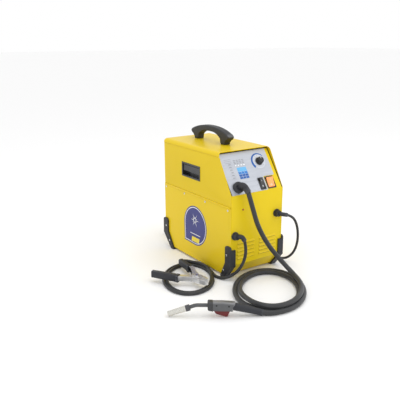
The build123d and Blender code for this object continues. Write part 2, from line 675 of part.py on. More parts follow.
def pressure_arm():
    """The arm that presses the idler down: pivot eye, roller pin and forked end."""
    y, z = ARM_PIVOT
    beam = prism([(y + 2, z - 6), (y + 2, z + 7), (-114.0, 328.0), (-114.0, 318.5), (-70.0, 303.0)], ARM_X)
    beam += axial(ARM_PIVOT, ARM_X, 7.0) + axial(IDLER, (ARM_X[1], -52.0), 2.95)
    beam -= axial(ARM_PIVOT, (-75.0, -60.0), 3.0)
    beam -= block((ARM_X[0] - 1, ARM_X[1] + 1), (-115.0, -104.0), (300.0, 330.0))
    pad = block((-73.5, -58.0), (-114.0, -100.0), (318.5, 328.0))
    slot = block((ARM_X[0] - 0.6, ARM_X[1] + 0.6), (-115.0, BOLT_PIVOT[0] + 3.4), (316.0, 330.0))
    return beam + (pad - slot)


def pressure_roller():
    """The idler that pinches the wire on the drive roller."""
    return axial(IDLER, (ROLLER_X[0], -52.5), IDLER_R) - axial(IDLER, (-70.0, -45.0), 3.0)


def tension_screw():
    """The swing bolt with its scale sleeve and knob."""
    y, z = BOLT_PIVOT
    x = (ARM_X[0] + ARM_X[1]) / 2
    eye = axial(BOLT_PIVOT, ARM_X, 5.5) - axial(BOLT_PIVOT, (-75.0, -60.0), 2.5)
    stem = rod((x, y, z + 4), (x, y, z + 60), 2.2)
    knob = rod((x, y, z + 46), (x, y, z + 62), 8.5)
    knob = fillet(knob.edges().filter_by(GeomType.CIRCLE), 1.2)
    return eye + stem + knob


def spool_holder():
    """The axle that carries the spool, flanged to the inner wall."""
    axle = axial(SPOOL, (-84.0, -12.0), BORE_R - 0.05) + axial(SPOOL, (-28.0, -24.0), 14.0)
    return axle + axial(SPOOL, (-16.0, -12.0), 20.0) + axial(SPOOL, (-24.0, -16.0), 11.0)


def spool_nut():
    """The wing knob on the end of the axle."""
    y, z = SPOOL
    wings = block((-89.0, -84.0), (y - 20, y + 20), (z - 4, z + 4))
    return axial(SPOOL, (-91.0, -84.0), 12.0) + wings + axial(SPOOL, (-84.0, -76.0), 11.5) - axial(
        SPOOL, (-85.0, -70.0), BORE_R - 0.05)


def wire_spool():
    """The plastic spool: drum and two lightened flanges."""
    drum = axial(SPOOL, SPOOL_X, DRUM_R - 0.3)
    for x in (SPOOL_X[0], SPOOL_X[1] - 2.5):
        drum += axial(SPOOL, (x, x + 2.5), SPOOL_R)
    ring = axial(SPOOL, (SPOOL_X[0] + 2.5, SPOOL_X[1] - 2.5), DRUM_R - 3.0) - axial(SPOOL, SPOOL_X, BORE_R + 3.0)
    y, z = SPOOL
    holes = []
    for i in range(6):
        angle = math.radians(60 * i)
        holes.append(axial((y + 37 * math.cos(angle), z + 37 * math.sin(angle)), (SPOOL_X[0] - 1, -71.0), 6.0))
    drum -= axial(SPOOL, (-80.0, -20.0), BORE_R)
    return drum - ring - holes


def wire_pack():
    """The wound welding wire, as one ring."""
    x = (SPOOL_X[0] + 2.8, SPOOL_X[1] - 2.8)
    return axial(SPOOL, x, WIRE_TOP_R) - axial(SPOOL, (-80.0, -20.0), DRUM_R)


# ---------------------------------------------------------------- torch

TORCH = Plane(origin=(-178.0, -462.0, FLOOR_Z), x_dir=(-0.838, 0.5457, 0), z_dir=(0.5457, 0.838, 0))
HANDLE_HALF = 12.5
TRIGGER_PIVOT = (143.0, 25.0)
NOZZLE_START = (225.0, 26.6)
NOZZLE_END = (281.0, 8.9)


def in_torch(s, t):
    """A place in the torch's upright middle plane, s towards the nozzle and t above the floor."""
    return TORCH.from_local_coords((s, t, 0.0))


def torch_slab(points, half):
    """An outline in the torch's middle plane, grown to both sides."""
    face = TORCH * make_face(Polyline(*points, close=True))
    return extrude(face, amount=half, both=True)


def torch_boot():
    """The tapered boot where the hose enters the handle."""
    return rod(in_torch(4.0, 10.2), in_torch(96.0, 33.0), HOSE_R + 1.6, 12.2)


def torch_handle():
    """The pistol-less grip, slotted underneath for the trigger."""
    outline = [(92, 17), (84, 44), (120, 47), (162, 48), (163, 22), (150, 20), (100, 18)]
    body = torch_slab(outline, HANDLE_HALF)
    long_edges = body.edges().filter_by(lambda e: abs(TORCH.to_local_coords(e.center()).Z) > HANDLE_HALF - 0.1)
    body = fillet(long_edges, 6.0)
    body -= torch_slab([(98.0, 10.0), (98.0, 31.0), (149.0, 31.0), (149.0, 10.0)], 6.5)
    return body - torch_boot() - torch_neck()


def torch_trigger():
    """The long trigger, hung on a pin at its front end."""
    outline = [(146, 18.5), (146.5, 28), (139, 28), (100, 24), (100, 17), (106, 1.5), (111, 0.6), (140, 10)]
    lever = torch_slab(outline, 6.0)
    s, t = TRIGGER_PIVOT
    pin = TORCH * Pos(s, t, 0) * Cylinder(1.5, 12.8)
    return lever + pin


def torch_neck():
    """The bent steel tube from the handle to the insulator."""
    path = [in_torch(150.0, 35.0), in_torch(199.0, 36.0), in_torch(224.0, 27.2)]
    return bent_rod(path, 40.0, 5.6)


def along_nozzle(distance):
    """A place on the nozzle's axis, measured from its rear end."""
    first = in_torch(*NOZZLE_START)
    last = in_torch(*NOZZLE_END)
    return first + (last - first).normalized() * distance


def torch_insulator():
    """The black ring between neck and nozzle."""
    ring = rod(along_nozzle(-9.0), along_nozzle(3.0), 9.4)
    return ring - torch_neck()


def torch_nozzle():
    """The tapered gas nozzle, open at its mouth."""
    shell = rod(along_nozzle(3.0), along_nozzle(57.5), 8.8, 7.9)
    bore = rod(along_nozzle(6.0), along_nozzle(60.0), 7.4, 6.4)
    return shell - bore


def contact_tip():
    """The copper tip and its holder inside the nozzle."""
    holder = rod(along_nozzle(6.0), along_nozzle(30.0), 5.0)
    tip = rod(along_nozzle(30.0), along_nozzle(51.0), 3.2, 2.6)
    return holder + tip - rod(along_nozzle(20.0), along_nozzle(55.0), 0.6)


# ---------------------------------------------------------------- earth clamp

CABLE_COIL_TOP = 8.0
CLAMP = Plane(origin=(-228.0, -183.6, CABLE_COIL_TOP + 1.8), x_dir=(-0.238, 0.971, 0), z_dir=(0, 0, 1))
CLAMP_TALL = 22.0
LEVER = [(-44.0, 7.0), (-24.0, 13.0), (0.0, 13.0), (20.0, 22.0), (54.0, 46.5), (88.0, 58.0)]
LEVER_INNER = [(88.0, 44.5), (60.0, 35.0), (34.0, 14.0), (12.0, -8.0), (-8.0, -8.0), (-10.0, 0.6), (-44.0, 0.6)]
GRIP_LINE = ((46.0, 37.0), (138.0, 68.0))
POCKET_WIDE = 14.8
POCKET_END = 88.6
CLAMP_PIN_R = 3.0
MOVING_INSET = 2.4


def clamp_lever(side, low, high, plate):
    """One pressed lever: two plates joined by a web along the outer edge."""
    points = [(u, side * v) for u, v in LEVER + LEVER_INNER]
    outer = [(u, side * v) for u, v in LEVER]
    lever = slab(points, (low, low + plate)) + slab(points, (high - plate, high))
    lever += slab(strip_outline(outer, plate, -side), (low, high))
    jaw = [(-44.0, side * 0.6), (-44.0, side * 4.0), (-30.0, side * 4.0), (-30.0, side * 0.6)]
    lever += slab(jaw, (low, high))
    bore = Pos(0, 0, (low + high) / 2) * Cylinder(CLAMP_PIN_R + 0.05, high - low + 2)
    return CLAMP * (lever - bore)


def clamp_fixed_jaw():
    """The outer lever, which the cable is bolted to."""
    return clamp_lever(-1, 0.0, CLAMP_TALL, 2.0)


def clamp_moving_jaw():
    """The inner lever, which swings on the pin."""
    return clamp_lever(1, MOVING_INSET, CLAMP_TALL - MOVING_INSET, 2.0)


def clamp_grip(side, lever_tall):
    """A rubber grip over the end of a lever, with a pocket for the lever in it."""
    (u0, v0), (u1, v1) = GRIP_LINE
    if side < 0:
        u0, v0 = u0 + 24, v0 + 8
    line = Plane(origin=(u0, side * v0, CLAMP_TALL / 2), x_dir=(0, 0, 1), z_dir=(u1 - u0, side * (v1 - v0), 0))
    length = math.hypot(u1 - u0, v1 - v0)
    near = line * RectangleRounded(24.4, 19.0, 4.0)
    far = line.offset(length) * RectangleRounded(23.0, 17.4, 4.0)
    collar = line.offset(-0.5) * RectangleRounded(24.8, 23.0, 4.5)
    grip = loft([near, far]) + extrude(collar, amount=8.5)
    reach = length * (POCKET_END - u0) / (u1 - u0)
    pocket = extrude(line.offset(-4) * Rectangle(lever_tall + 0.4, POCKET_WIDE), amount=reach + 4)
    return CLAMP * (grip - pocket)


def clamp_pin():
    """The rivet that both levers turn on."""
    shank = Pos(0, 0, CLAMP_TALL / 2) * Cylinder(CLAMP_PIN_R, CLAMP_TALL)
    head = Pos(0, 0, CLAMP_TALL + 0.8) * Cylinder(5.5, 1.6)
    return CLAMP * (shank + head)


def clamp_spring():
    """The torsion spring on the pin, as the sleeve that its turns fill."""
    middle = CLAMP_TALL / 2
    coil = Pos(0, 0, middle) * (Cylinder(6.5, 9.0) - Cylinder(CLAMP_PIN_R + 0.6, 10.0))
    return CLAMP * coil


# ---------------------------------------------------------------- cords


def cord_radii(points):
    """The radius of each arc: as large as the two runs beside it allow."""
    radii = []
    for before, here, after in zip(points, points[1:], points[2:]):
        first = Vector(*here) - Vector(*before)
        last = Vector(*after) - Vector(*here)
        turn = math.radians(first.get_angle(last))
        radii.append(0.45 * min(first.length, last.length) / math.tan(turn / 2))
    return radii


def cord(name, points, radius):
    """A cord's uncoiled stretch, with its arc radii and volume printed."""
    radii = cord_radii(points)
    path = FilletPolyline(*points, radius=radii)
    tube = sweep(Plane(origin=path @ 0, z_dir=path % 0) * Circle(radius), path=path)
    share = tube.volume / (math.pi * radius**2 * path.length)
    print(name, "length", round(path.length), "radii", [round(r) for r in radii], "volume", round(share, 4))
    return tube


def coil_ring(centre, axes, forward, band, z):
    """The outer shape of a coil lying on the floor: an oval ring, axes across and along forward."""
    plane = Plane(origin=(*centre, z[0]), x_dir=(forward[1], -forward[0], 0), z_dir=(0, 0, 1))
    outer = plane * Ellipse(axes[0] + band, axes[1] + band)
    inner = plane * Ellipse(axes[0] - band, axes[1] - band)
    return extrude(outer - inner, amount=z[1] - z[0])


HOSE_ROUTE = [HOSE_EXIT, (-46.0, -241.0, 243.0), (-31.0, -247.0, 188.0), (-8.0, -251.0, 142.0),
              (17.0, -256.0, 102.0), (41.0, -268.0, 67.0), (57.0, -294.0, 38.0), (62.0, -332.0, 16.0)]
HOSE_COIL = ((-59.5, -348.5), (102.2, 148.0), (0.664, 0.748), 13.8, (FLOOR_Z, 22.5))
CABLE_ROUTE = [CABLE_EXIT, (-71.0, -240.5, 114.0), (-73.0, -242.0, 84.0), (-83.0, -239.0, 53.0),
               (-98.0, -227.5, 26.0), (-117.0, -208.0, 5.5), (-132.0, -185.0, -1.6), (-141.0, -157.0, -1.6)]
CABLE_COIL = ((-218.7, -122.6), (80.6, 119.8), (0.54, 0.842), 10.2, (FLOOR_Z, CABLE_COIL_TOP))
LEAD_ROUTE = [LEAD_EXIT, (128.0, -236.5, 184.0), (146.0, -238.0, 168.0), (162.0, -238.5, 140.0),
              (172.0, -237.0, 104.0), (175.0, -231.0, 68.0), (171.0, -218.0, 34.0), (161.0, -194.0, 8.0),
              (151.0, -160.0, -2.3), (142.0, -112.0, -2.4), (136.0, -50.0, -2.4), (137.0, 20.0, -2.4),
              (133.0, 95.0, -2.4), (136.0, 165.0, -2.4), (141.0, 230.0, -2.4), (140.0, 284.0, -2.4)]
LEAD_COIL_CENTRE = (84.0, 300.0)
LEAD_COIL_R = 49.5
LEAD_COIL_BAND = 9.4


def lead_coil():
    """The put-away turns of the mains lead behind the machine."""
    ring = Pos(*LEAD_COIL_CENTRE, (FLOOR_Z + 12.0) / 2) * (
        Cylinder(LEAD_COIL_R + LEAD_COIL_BAND, 12.0 - FLOOR_Z) - Cylinder(LEAD_COIL_R - LEAD_COIL_BAND, 30.0))
    return ring


PLUG_REAR = (24.6, 306.0, 12.0)
PLUG_NOSE = (-38.0, 306.0, 12.0)
PLUG_R = 18.5
PLUG_PIN_R = 2.4
PLUG_PIN_PITCH = 19.0


def mains_plug():
    """The moulded two-pin plug lying beside its coil, with its tapered rear and ribbed grip."""
    x, y, z = PLUG_REAR
    body = rod((x - 34, y, z), PLUG_NOSE, PLUG_R) + rod((x, y, z), (x - 34, y, z), LEAD_R + 1.5, PLUG_R)
    for side in (-1, 1):
        body -= block((PLUG_NOSE[0] - 1, x - 36), (y + side * 19 - 2.6, y + side * 19 + 2.6), (z - 4, z + 4))
    for side in (-0.5, 0.5):
        centre_y = y + side * PLUG_PIN_PITCH
        body += rod((PLUG_NOSE[0], centre_y, z), (PLUG_NOSE[0] - 19, centre_y, z), PLUG_PIN_R)
    return body


def main():
    """Build and write every node, with holes for the screws that go through them."""
    nodes = {
        "base_shell": base_shell(), "top_cover": top_cover(), "front_panel": front_panel(),
        "rear_panel": rear_panel(), "side_door": side_door(), "hinge_leaf": hinge_leaf(),
        "hinge_pin": hinge_pin(), "latch_cup": latch_cup(), "latch_paddle": latch_paddle(),
        "latch_bolt": latch_bolt(), "inner_partition": inner_partition(), "control_plate": control_plate(),
        "top_handle": top_handle(), "corner_bumpers": corner_bumpers(), "panel_screws": panel_screws(),
        "speed_knob": speed_knob(), "potentiometer": potentiometer(),
        "power_switch": switch_frame(POWER_SWITCH, POWER_SIZE, 24.0),
        "power_rocker": rocker(POWER_SWITCH, POWER_SIZE),
        "selector_switch": switch_frame(SELECTOR, SELECTOR_SIZE, 24.0),
        "selector_rocker": rocker(SELECTOR, SELECTOR_SIZE),
        "torch_outlet": torch_outlet(), "ground_gland": ground_gland(), "mains_gland": mains_gland(),
        "transformer_core": transformer_core(), "transformer_windings": transformer_windings(),
        "rectifier": rectifier(), "control_board": control_board(), "fan_frame": fan_frame(),
        "fan_blades": fan_blades(), "feed_motor": feed_motor(), "feed_plate": feed_plate(),
        "drive_roller": drive_roller(), "pressure_arm": pressure_arm(), "pressure_roller": pressure_roller(),
        "tension_screw": tension_screw(), "spool_holder": spool_holder(), "spool_nut": spool_nut(),
        "wire_spool": wire_spool(), "wire_pack": wire_pack(), "torch_boot": torch_boot(),
        "torch_handle": torch_handle(), "torch_trigger": torch_trigger(), "torch_neck": torch_neck(),
        "torch_insulator": torch_insulator(), "torch_nozzle": torch_nozzle(), "contact_tip": contact_tip(),
        "clamp_fixed_jaw": clamp_fixed_jaw(), "clamp_moving_jaw": clamp_moving_jaw(), "clamp_pin": clamp_pin(),
        "clamp_spring": clamp_spring(), "clamp_fixed_grip": clamp_grip(-1, CLAMP_TALL),
        "clamp_moving_grip": clamp_grip(1, CLAMP_TALL - 2 * MOVING_INSET),
        "torch_hose": cord("torch_hose", HOSE_ROUTE, HOSE_R),
        "torch_hose_coil": coil_ring(*HOSE_COIL), "ground_cable": cord("ground_cable", CABLE_ROUTE, CABLE_R),
        "ground_cable_coil": coil_ring(*CABLE_COIL), "mains_lead": cord("mains_lead", LEAD_ROUTE, LEAD_R),
        "mains_lead_coil": lead_coil(), "mains_plug": mains_plug(),
    }
    for name in ("base_shell", "top_cover", "rear_panel", "corner_bumpers", "hinge_leaf", "fan_frame"):
        nodes[name] -= nodes["panel_screws"]
    for name, shape in nodes.items():
        save(shape, name)


main()
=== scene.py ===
import math

import bmesh
import bpy
from mathutils import Matrix, Vector


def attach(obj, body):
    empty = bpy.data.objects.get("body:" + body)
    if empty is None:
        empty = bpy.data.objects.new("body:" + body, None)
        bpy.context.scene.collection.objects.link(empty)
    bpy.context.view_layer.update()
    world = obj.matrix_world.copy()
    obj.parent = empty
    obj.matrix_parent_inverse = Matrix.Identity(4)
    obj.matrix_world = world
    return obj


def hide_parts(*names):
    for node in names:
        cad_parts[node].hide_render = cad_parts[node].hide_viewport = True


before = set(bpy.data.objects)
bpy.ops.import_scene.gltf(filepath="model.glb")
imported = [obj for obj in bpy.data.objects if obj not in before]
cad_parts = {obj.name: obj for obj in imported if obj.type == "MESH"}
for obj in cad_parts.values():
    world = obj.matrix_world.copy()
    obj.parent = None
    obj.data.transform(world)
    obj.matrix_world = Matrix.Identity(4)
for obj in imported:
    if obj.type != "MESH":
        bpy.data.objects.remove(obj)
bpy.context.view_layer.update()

MM = 0.001
FLOOR = -7 * MM

# the case in millimetres
CASE_SIDE = 110.0        # half its width
CASE_FRONT = -210.0
CASE_REAR = 210.0
CASE_TOP = 416.0
BUMPER = 6.0             # how far the rubber stands off the case

# ---------------------------------------------------------------- camera


def camera():
    """The view on the machine's front left corner, from a little above."""
    data = bpy.data.cameras.new("camera")
    data.lens = 50.2
    data.sensor_width = 36.0
    data.clip_end = 100.0
    obj = bpy.data.objects.new("camera", data)
    bpy.context.scene.collection.objects.link(obj)
    place = Vector((-1.155, -1.582, 0.768))
    target = Vector((-0.090, 0.0, 0.2213))
    aim = (target - place).to_track_quat("-Z", "Y").to_matrix().to_4x4()
    roll = Matrix.Rotation(math.radians(-0.273), 4, "Z")
    obj.matrix_world = Matrix.Translation(place) @ aim @ roll
    bpy.context.scene.camera = obj


camera()

# ---------------------------------------------------------------- cords


def mm(points):
    """Millimetres to metres."""
    return [Vector(p) * MM for p in points]


def coil(centre, across, along, forward, turns, offset, height):
    """Points of a coil lying on the floor. Angles in degrees run through turns, an iterable; offset and
    height give each angle's place across the band and above the origin, in millimetres."""
    f = Vector((*forward, 0)).normalized()
    r = Vector((f.y, -f.x, 0))
    points = []
    for index, angle in enumerate(turns):
        t = math.radians(angle)
        a = across + offset(index)
        b = along + offset(index)
        flat = Vector((*centre, 0)) + r * (a * math.cos(t)) + f * (b * math.sin(t))
        points.append((flat.x, flat.y, height(index)))
    return points


def ease(value, start, end, low, high):
    """A smooth step from low before start to high after end."""
    x = min(max((value - start) / (end - start), 0.0), 1.0)
    return low + (high - low) * x * x * (3 - 2 * x)


def cord_curve(name, points, radius, material):
    """One open NURBS spline through the control points, with a round section."""
    data = bpy.data.curves.new(name, "CURVE")
    data.dimensions = "3D"
    spline = data.splines.new("NURBS")
    spline.points.add(len(points) - 1)
    for point, place in zip(spline.points, points):
        point.co = (*place, 1.0)
    spline.order_u = 3
    spline.use_endpoint_u = True
    spline.resolution_u = 8
    data.bevel_depth = radius
    data.bevel_resolution = 7
    data.use_fill_caps = True
    data.materials.append(material)
    obj = bpy.data.objects.new(name, data)
    bpy.context.scene.collection.objects.link(obj)
    return obj


def node_tree(name):
    """A new material with its node tree and its shader."""
    material = bpy.data.materials.new(name)
    material.use_nodes = True
    tree = material.node_tree
    return material, tree, tree.nodes["Principled BSDF"]


def add(tree, kind, **sockets):
    """A node with some input values set; names with spaces use underscores."""
    node = tree.nodes.new(kind)
    for key, value in sockets.items():
        node.inputs[key.replace("_", " ")].default_value = value
    return node


def object_place(tree, stretch=(1, 1, 1)):
    """Object coordinates, scaled, as the input of a texture."""
    coord = tree.nodes.new("ShaderNodeTexCoord")
    mapping = add(tree, "ShaderNodeMapping", Scale=stretch)
    tree.links.new(coord.outputs["Object"], mapping.inputs["Vector"])
    return mapping.outputs["Vector"]


def noise(tree, vector, scale, detail=3.0):
    """A noise texture's value."""
    node = add(tree, "ShaderNodeTexNoise", Scale=scale, Detail=detail)
    tree.links.new(vector, node.inputs["Vector"])
    return node.outputs["Fac"]


def ramp(tree, value, low, high, start=0.0, end=1.0):
    """A value or colour ramp between two colours."""
    node = tree.nodes.new("ShaderNodeValToRGB")
    node.color_ramp.elements[0].position = start
    node.color_ramp.elements[1].position = end
    node.color_ramp.elements[0].color = (*low, 1)
    node.color_ramp.elements[1].color = (*high, 1)
    tree.links.new(value, node.inputs["Fac"])
    return node.outputs["Color"]


def span(tree, value, low, high):
    """A value between 0 and 1 spread from low to high."""
    node = tree.nodes.new("ShaderNodeMapRange")
    node.inputs["To Min"].default_value = low
    node.inputs["To Max"].default_value = high
    tree.links.new(value, node.inputs["Value"])
    return node.outputs["Result"]


def bump(tree, height, strength, distance):
    """A bump from a height value."""
    node = add(tree, "ShaderNodeBump", Strength=strength, Distance=distance)
    tree.links.new(height, node.inputs["Height"])
    return node.outputs["Normal"]


def surface(name, dark, light, rough, patch=6.0, grain=900.0, grain_depth=0.00004, stretch=(1, 1, 1),
            wear=None, **constants):
    """A material whose colour drifts between two tones, with grain, uneven gloss and worn edges."""
    material, tree, shader = node_tree(name)
    vector = object_place(tree, stretch)
    colour = ramp(tree, noise(tree, vector, patch, 4.0), dark, light, 0.3, 0.7)
    if wear:
        edge = tree.nodes.new("ShaderNodeNewGeometry").outputs["Pointiness"]
        mask = ramp(tree, edge, (0, 0, 0), (1, 1, 1), 0.53, 0.62)
        mix = tree.nodes.new("ShaderNodeMix")
        mix.data_type = "RGBA"
        tree.links.new(mask, mix.inputs["Factor"])
        tree.links.new(colour, mix.inputs[6])
        mix.inputs[7].default_value = (*wear, 1)
        colour = mix.outputs[2]
    tree.links.new(colour, shader.inputs["Base Color"])
    tree.links.new(span(tree, noise(tree, vector, patch * 5, 5.0), *rough), shader.inputs["Roughness"])
    fine = noise(tree, vector, grain, 2.0)
    tree.links.new(bump(tree, fine, 0.6, grain_depth), shader.inputs["Normal"])
    for key, value in constants.items():
        shader.inputs[key.replace("_", " ")].default_value = value
    return material


def cord_rubber(name, dark, light, rough):
    """Extruded rubber: fine lengthways drift, faint ridges round it and a soft sheen."""
    material, tree, shader = node_tree(name)
    vector = object_place(tree)
    colour = ramp(tree, noise(tree, vector, 30.0, 6.0), dark, light, 0.3, 0.7)
    tree.links.new(colour, shader.inputs["Base Color"])
    tree.links.new(span(tree, noise(tree, vector, 60.0, 4.0), *rough), shader.inputs["Roughness"])
    tree.links.new(bump(tree, noise(tree, vector, 1400.0, 3.0), 0.5, 0.00005), shader.inputs["Normal"])
    shader.inputs["Sheen Weight"].default_value = 0.08
    return material


HOSE_RUBBER = cord_rubber("hose_rubber", (0.020, 0.021, 0.023), (0.033, 0.034, 0.037), (0.42, 0.56))
CABLE_RUBBER = cord_rubber("cable_rubber", (0.014, 0.0145, 0.016), (0.024, 0.025, 0.027), (0.38, 0.52))
LEAD_RUBBER = cord_rubber("lead_rubber", (0.012, 0.0125, 0.014), (0.021, 0.022, 0.024), (0.36, 0.5))

TORCH_ORIGIN = Vector((-178, -462, -7))
TORCH_X = Vector((-0.838, 0.5457, 0)).normalized()
TORCH_SIDE = Vector((0.5457, 0.838, 0)).normalized()


def in_torch(s, t, side=0.0):
    """A place in the torch's upright middle plane in millimetres: along it, above the floor, and aside."""
    return TORCH_ORIGIN + TORCH_X * s + Vector((0, 0, t)) + TORCH_SIDE * side


STEP = 15.0        # degrees between the points of a coil
HOSE_R, CABLE_R, LEAD_R = 8.0, 5.25, 4.5

# where each cord leaves the case
HOSE_EXIT = (-62, -236, 298)
CABLE_EXIT = (-76, -239, 137)
LEAD_EXIT = (112, -234, 190)


def hose():
    """The torch hose: down the front, on top of its own coil, round it and into the torch's boot."""
    route = [HOSE_EXIT, (-46, -241, 243), (-31, -247, 188), (-8, -251, 142), (17, -256, 102),
             (41, -268, 67), (57, -294, 38), (62, -332, 17)]
    count = 54
    first = 15.0
    across = lambda i: (ease(i * STEP, 110, 190, 0, -8.1) + ease(i * STEP, 450, 525, 0, 16.2))
    rise = lambda i: ease(i * STEP, 0, 60, 16.0, 15.5) + ease(i * STEP, 90, 130, 0, 1.7) - ease(
        i * STEP, 145, 215, 0, 16.2)
    turns = [first - STEP * i for i in range(count)]
    route += coil((-59.5, -348.5), 102.2, 148.0, (0.664, 0.748), turns, across, rise)
    route += [in_torch(-30, 8.1), in_torch(-8, 8.6), in_torch(6, 11.0), in_torch(26, 16.8)]
    return cord_curve("torch_hose_line", mm(route), HOSE_R * MM, HOSE_RUBBER)


def cable():
    """The earth cable: out of the front, round the bumper, two turns on the floor and up into the clamp."""
    route = [CABLE_EXIT, (-71, -240.5, 114), (-73, -242, 84), (-83, -239, 53), (-98, -227.5, 26),
             (-117, -208, 5.5), (-131, -186, -1.6), (-138, -160, -1.7)]
    count = 53
    first = 20.0
    across = lambda i: 5.3 - ease(i * STEP, 300, 375, 0, 10.6) + ease(i * STEP, 690, 740, 0, 4.8)
    rise = lambda i: -1.7 + ease(i * STEP, 685, 745, 0, 9.4)
    turns = [first + STEP * i for i in range(count)]
    route += coil((-218.7, -122.6), 80.6, 119.8, (0.54, 0.842), turns, across, rise)
    route += [(-151.3, -18.8, 8.6), (-163, -12, 10.8), (-177, -12, 13.6), (-189, -18.8, 16.6),
              (-195.8, -30.5, 19.0), (-197, -45, 20.6), (-197, -58, 20.9)]
    return cord_curve("ground_cable_line", mm(route), CABLE_R * MM, CABLE_RUBBER)


def lead():
    """The mains lead: down the right side, along the floor to the back, coiled, and up to the plug."""
    route = [LEAD_EXIT, (128, -236.5, 184), (146, -238, 168), (159, -238.5, 140), (166, -237, 104),
             (168, -231, 68), (165, -218, 34), (158, -194, 8), (151, -160, -2.3), (142, -112, -2.4),
             (136, -50, -2.4), (137, 20, -2.4), (133, 95, -2.4), (136, 165, -2.4), (141, 230, -2.4),
             (141, 276, -2.4)]
    count = 100
    first = 0.0
    across = lambda i: (4.6 - ease(i * STEP, 320, 400, 0, 9.2) + ease(i * STEP, 1040, 1110, 0, 9.2))
    rise = lambda i: -2.4 + ease(i * STEP, 680, 740, 0, 9.1)
    turns = [first + STEP * i for i in range(count)]
    route += coil((84, 300), 49.5, 49.5, (0, 1), turns, across, rise)
    route += [(111, 346.9, 6.9), (98.6, 351.3, 7.6), (85.5, 351.3, 8.9), (73, 346.8, 10.5),
              (62.9, 338.3, 12.0), (55, 328, 13.2), (47.7, 319, 13.9), (41.3, 312.7, 14.0),
              (31.5, 307.8, 13.4), (20.1, 306, 12.4), (8, 306, 12)]
    return cord_curve("mains_lead_line", mm(route), LEAD_R * MM, LEAD_RUBBER)


hose_line = hose()
cable_line = cable()
lead_line = lead()
for line, nodes in ((hose_line, ("torch_hose", "torch_hose_coil")),
                    (cable_line, ("ground_cable", "ground_cable_coil")),
                    (lead_line, ("mains_lead", "mains_lead_coil"))):
    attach(line, "machine")
    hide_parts(*nodes)

# ---------------------------------------------------------------- materials

CASE = surface("case_paint", (0.700, 0.500, 0.003), (0.740, 0.535, 0.006), (0.30, 0.40), patch=4.0,
               grain=700.0, grain_depth=0.00003, wear=(0.78, 0.56, 0.012), Specular_IOR_Level=0.2)
FRONT_PAINT = surface("front_paint", (0.760, 0.565, 0.003), (0.800, 0.600, 0.006), (0.30, 0.40), patch=4.0,
                      grain=700.0, grain_depth=0.00003, wear=(0.82, 0.60, 0.010), Specular_IOR_Level=0.2)
ZINC = surface("zinc_plate", (0.50, 0.51, 0.53), (0.66, 0.67, 0.68), (0.28, 0.46), patch=40.0, grain=500.0,
               Metallic=1.0)
BRIGHT_STEEL = surface("bright_steel", (0.62, 0.63, 0.64), (0.78, 0.78, 0.79), (0.14, 0.30), patch=25.0,
                       grain=800.0, stretch=(1, 1, 6), Metallic=1.0)
PRESSED_STEEL = surface("pressed_steel", (0.66, 0.67, 0.68), (0.84, 0.84, 0.85), (0.22, 0.38), patch=35.0,
                        grain=420.0, grain_depth=0.00006, wear=(0.93, 0.93, 0.94), Metallic=0.9)
NOZZLE = surface("nozzle_metal", (0.60, 0.59, 0.54), (0.66, 0.65, 0.60), (0.24, 0.32), patch=30.0,
                 grain=600.0, stretch=(4, 4, 1), Metallic=0.85)
SILVER_PLATE = surface("silver_plate", (0.46, 0.485, 0.54), (0.52, 0.545, 0.60), (0.32, 0.40), patch=10.0,
                       grain=1500.0, grain_depth=0.00001, stretch=(1, 12, 12), Metallic=0.25,
                       Coat_Weight=0.3, Coat_Roughness=0.2)
BLACK = surface("black_plastic", (0.012, 0.0125, 0.014), (0.020, 0.021, 0.023), (0.42, 0.58), patch=20.0,
                grain=1100.0, grain_depth=0.00006, wear=(0.07, 0.07, 0.075))
HANDLE_BLACK = surface("handle_black", (0.016, 0.0165, 0.018), (0.027, 0.028, 0.030), (0.46, 0.60),
                       patch=25.0, grain=900.0, grain_depth=0.0001, wear=(0.10, 0.10, 0.105))
GLOSS_BLACK = surface("gloss_black", (0.012, 0.012, 0.014), (0.020, 0.020, 0.023), (0.12, 0.24), patch=15.0,
                      grain=300.0, grain_depth=0.00001)
RUBBER = surface("bumper_rubber", (0.014, 0.015, 0.020), (0.023, 0.025, 0.032), (0.45, 0.62), patch=22.0,
                 grain=800.0, grain_depth=0.00008, wear=(0.09, 0.095, 0.11))
WINDOW = surface("window_black", (0.016, 0.017, 0.018), (0.040, 0.042, 0.044), (0.16, 0.30), patch=12.0,
                 grain=400.0, grain_depth=0.00002)
TORCH_GREY = surface("torch_grey", (0.085, 0.088, 0.093), (0.115, 0.118, 0.123), (0.42, 0.55), patch=24.0,
                     grain=1000.0, grain_depth=0.00008, wear=(0.25, 0.25, 0.26))
TRIGGER_RED = surface("trigger_red", (0.13, 0.010, 0.012), (0.19, 0.016, 0.017), (0.30, 0.42), patch=26.0,
                      grain=900.0, grain_depth=0.00004, wear=(0.55, 0.10, 0.09))
NECK = surface("neck_sleeve", (0.060, 0.062, 0.066), (0.100, 0.103, 0.108), (0.28, 0.40), patch=24.0,
               grain=700.0, grain_depth=0.00004)
COPPER = surface("copper", (0.62, 0.26, 0.13), (0.78, 0.38, 0.20), (0.24, 0.42), patch=60.0, grain=900.0,
                 Metallic=1.0)
CORE = surface("core_laminations", (0.085, 0.085, 0.090), (0.16, 0.16, 0.165), (0.45, 0.65), patch=12.0,
               grain=260.0, grain_depth=0.0002, stretch=(14, 0.6, 0.6), Metallic=0.6)
ALUMINIUM = surface("aluminium", (0.62, 0.63, 0.65), (0.76, 0.77, 0.79), (0.30, 0.45), patch=30.0,
                    grain=500.0, stretch=(1, 8, 1), Metallic=1.0)
BOARD = surface("board_green", (0.010, 0.085, 0.030), (0.020, 0.140, 0.050), (0.25, 0.40), patch=60.0,
                grain=500.0, grain_depth=0.00003, Coat_Weight=0.4, Coat_Roughness=0.15)
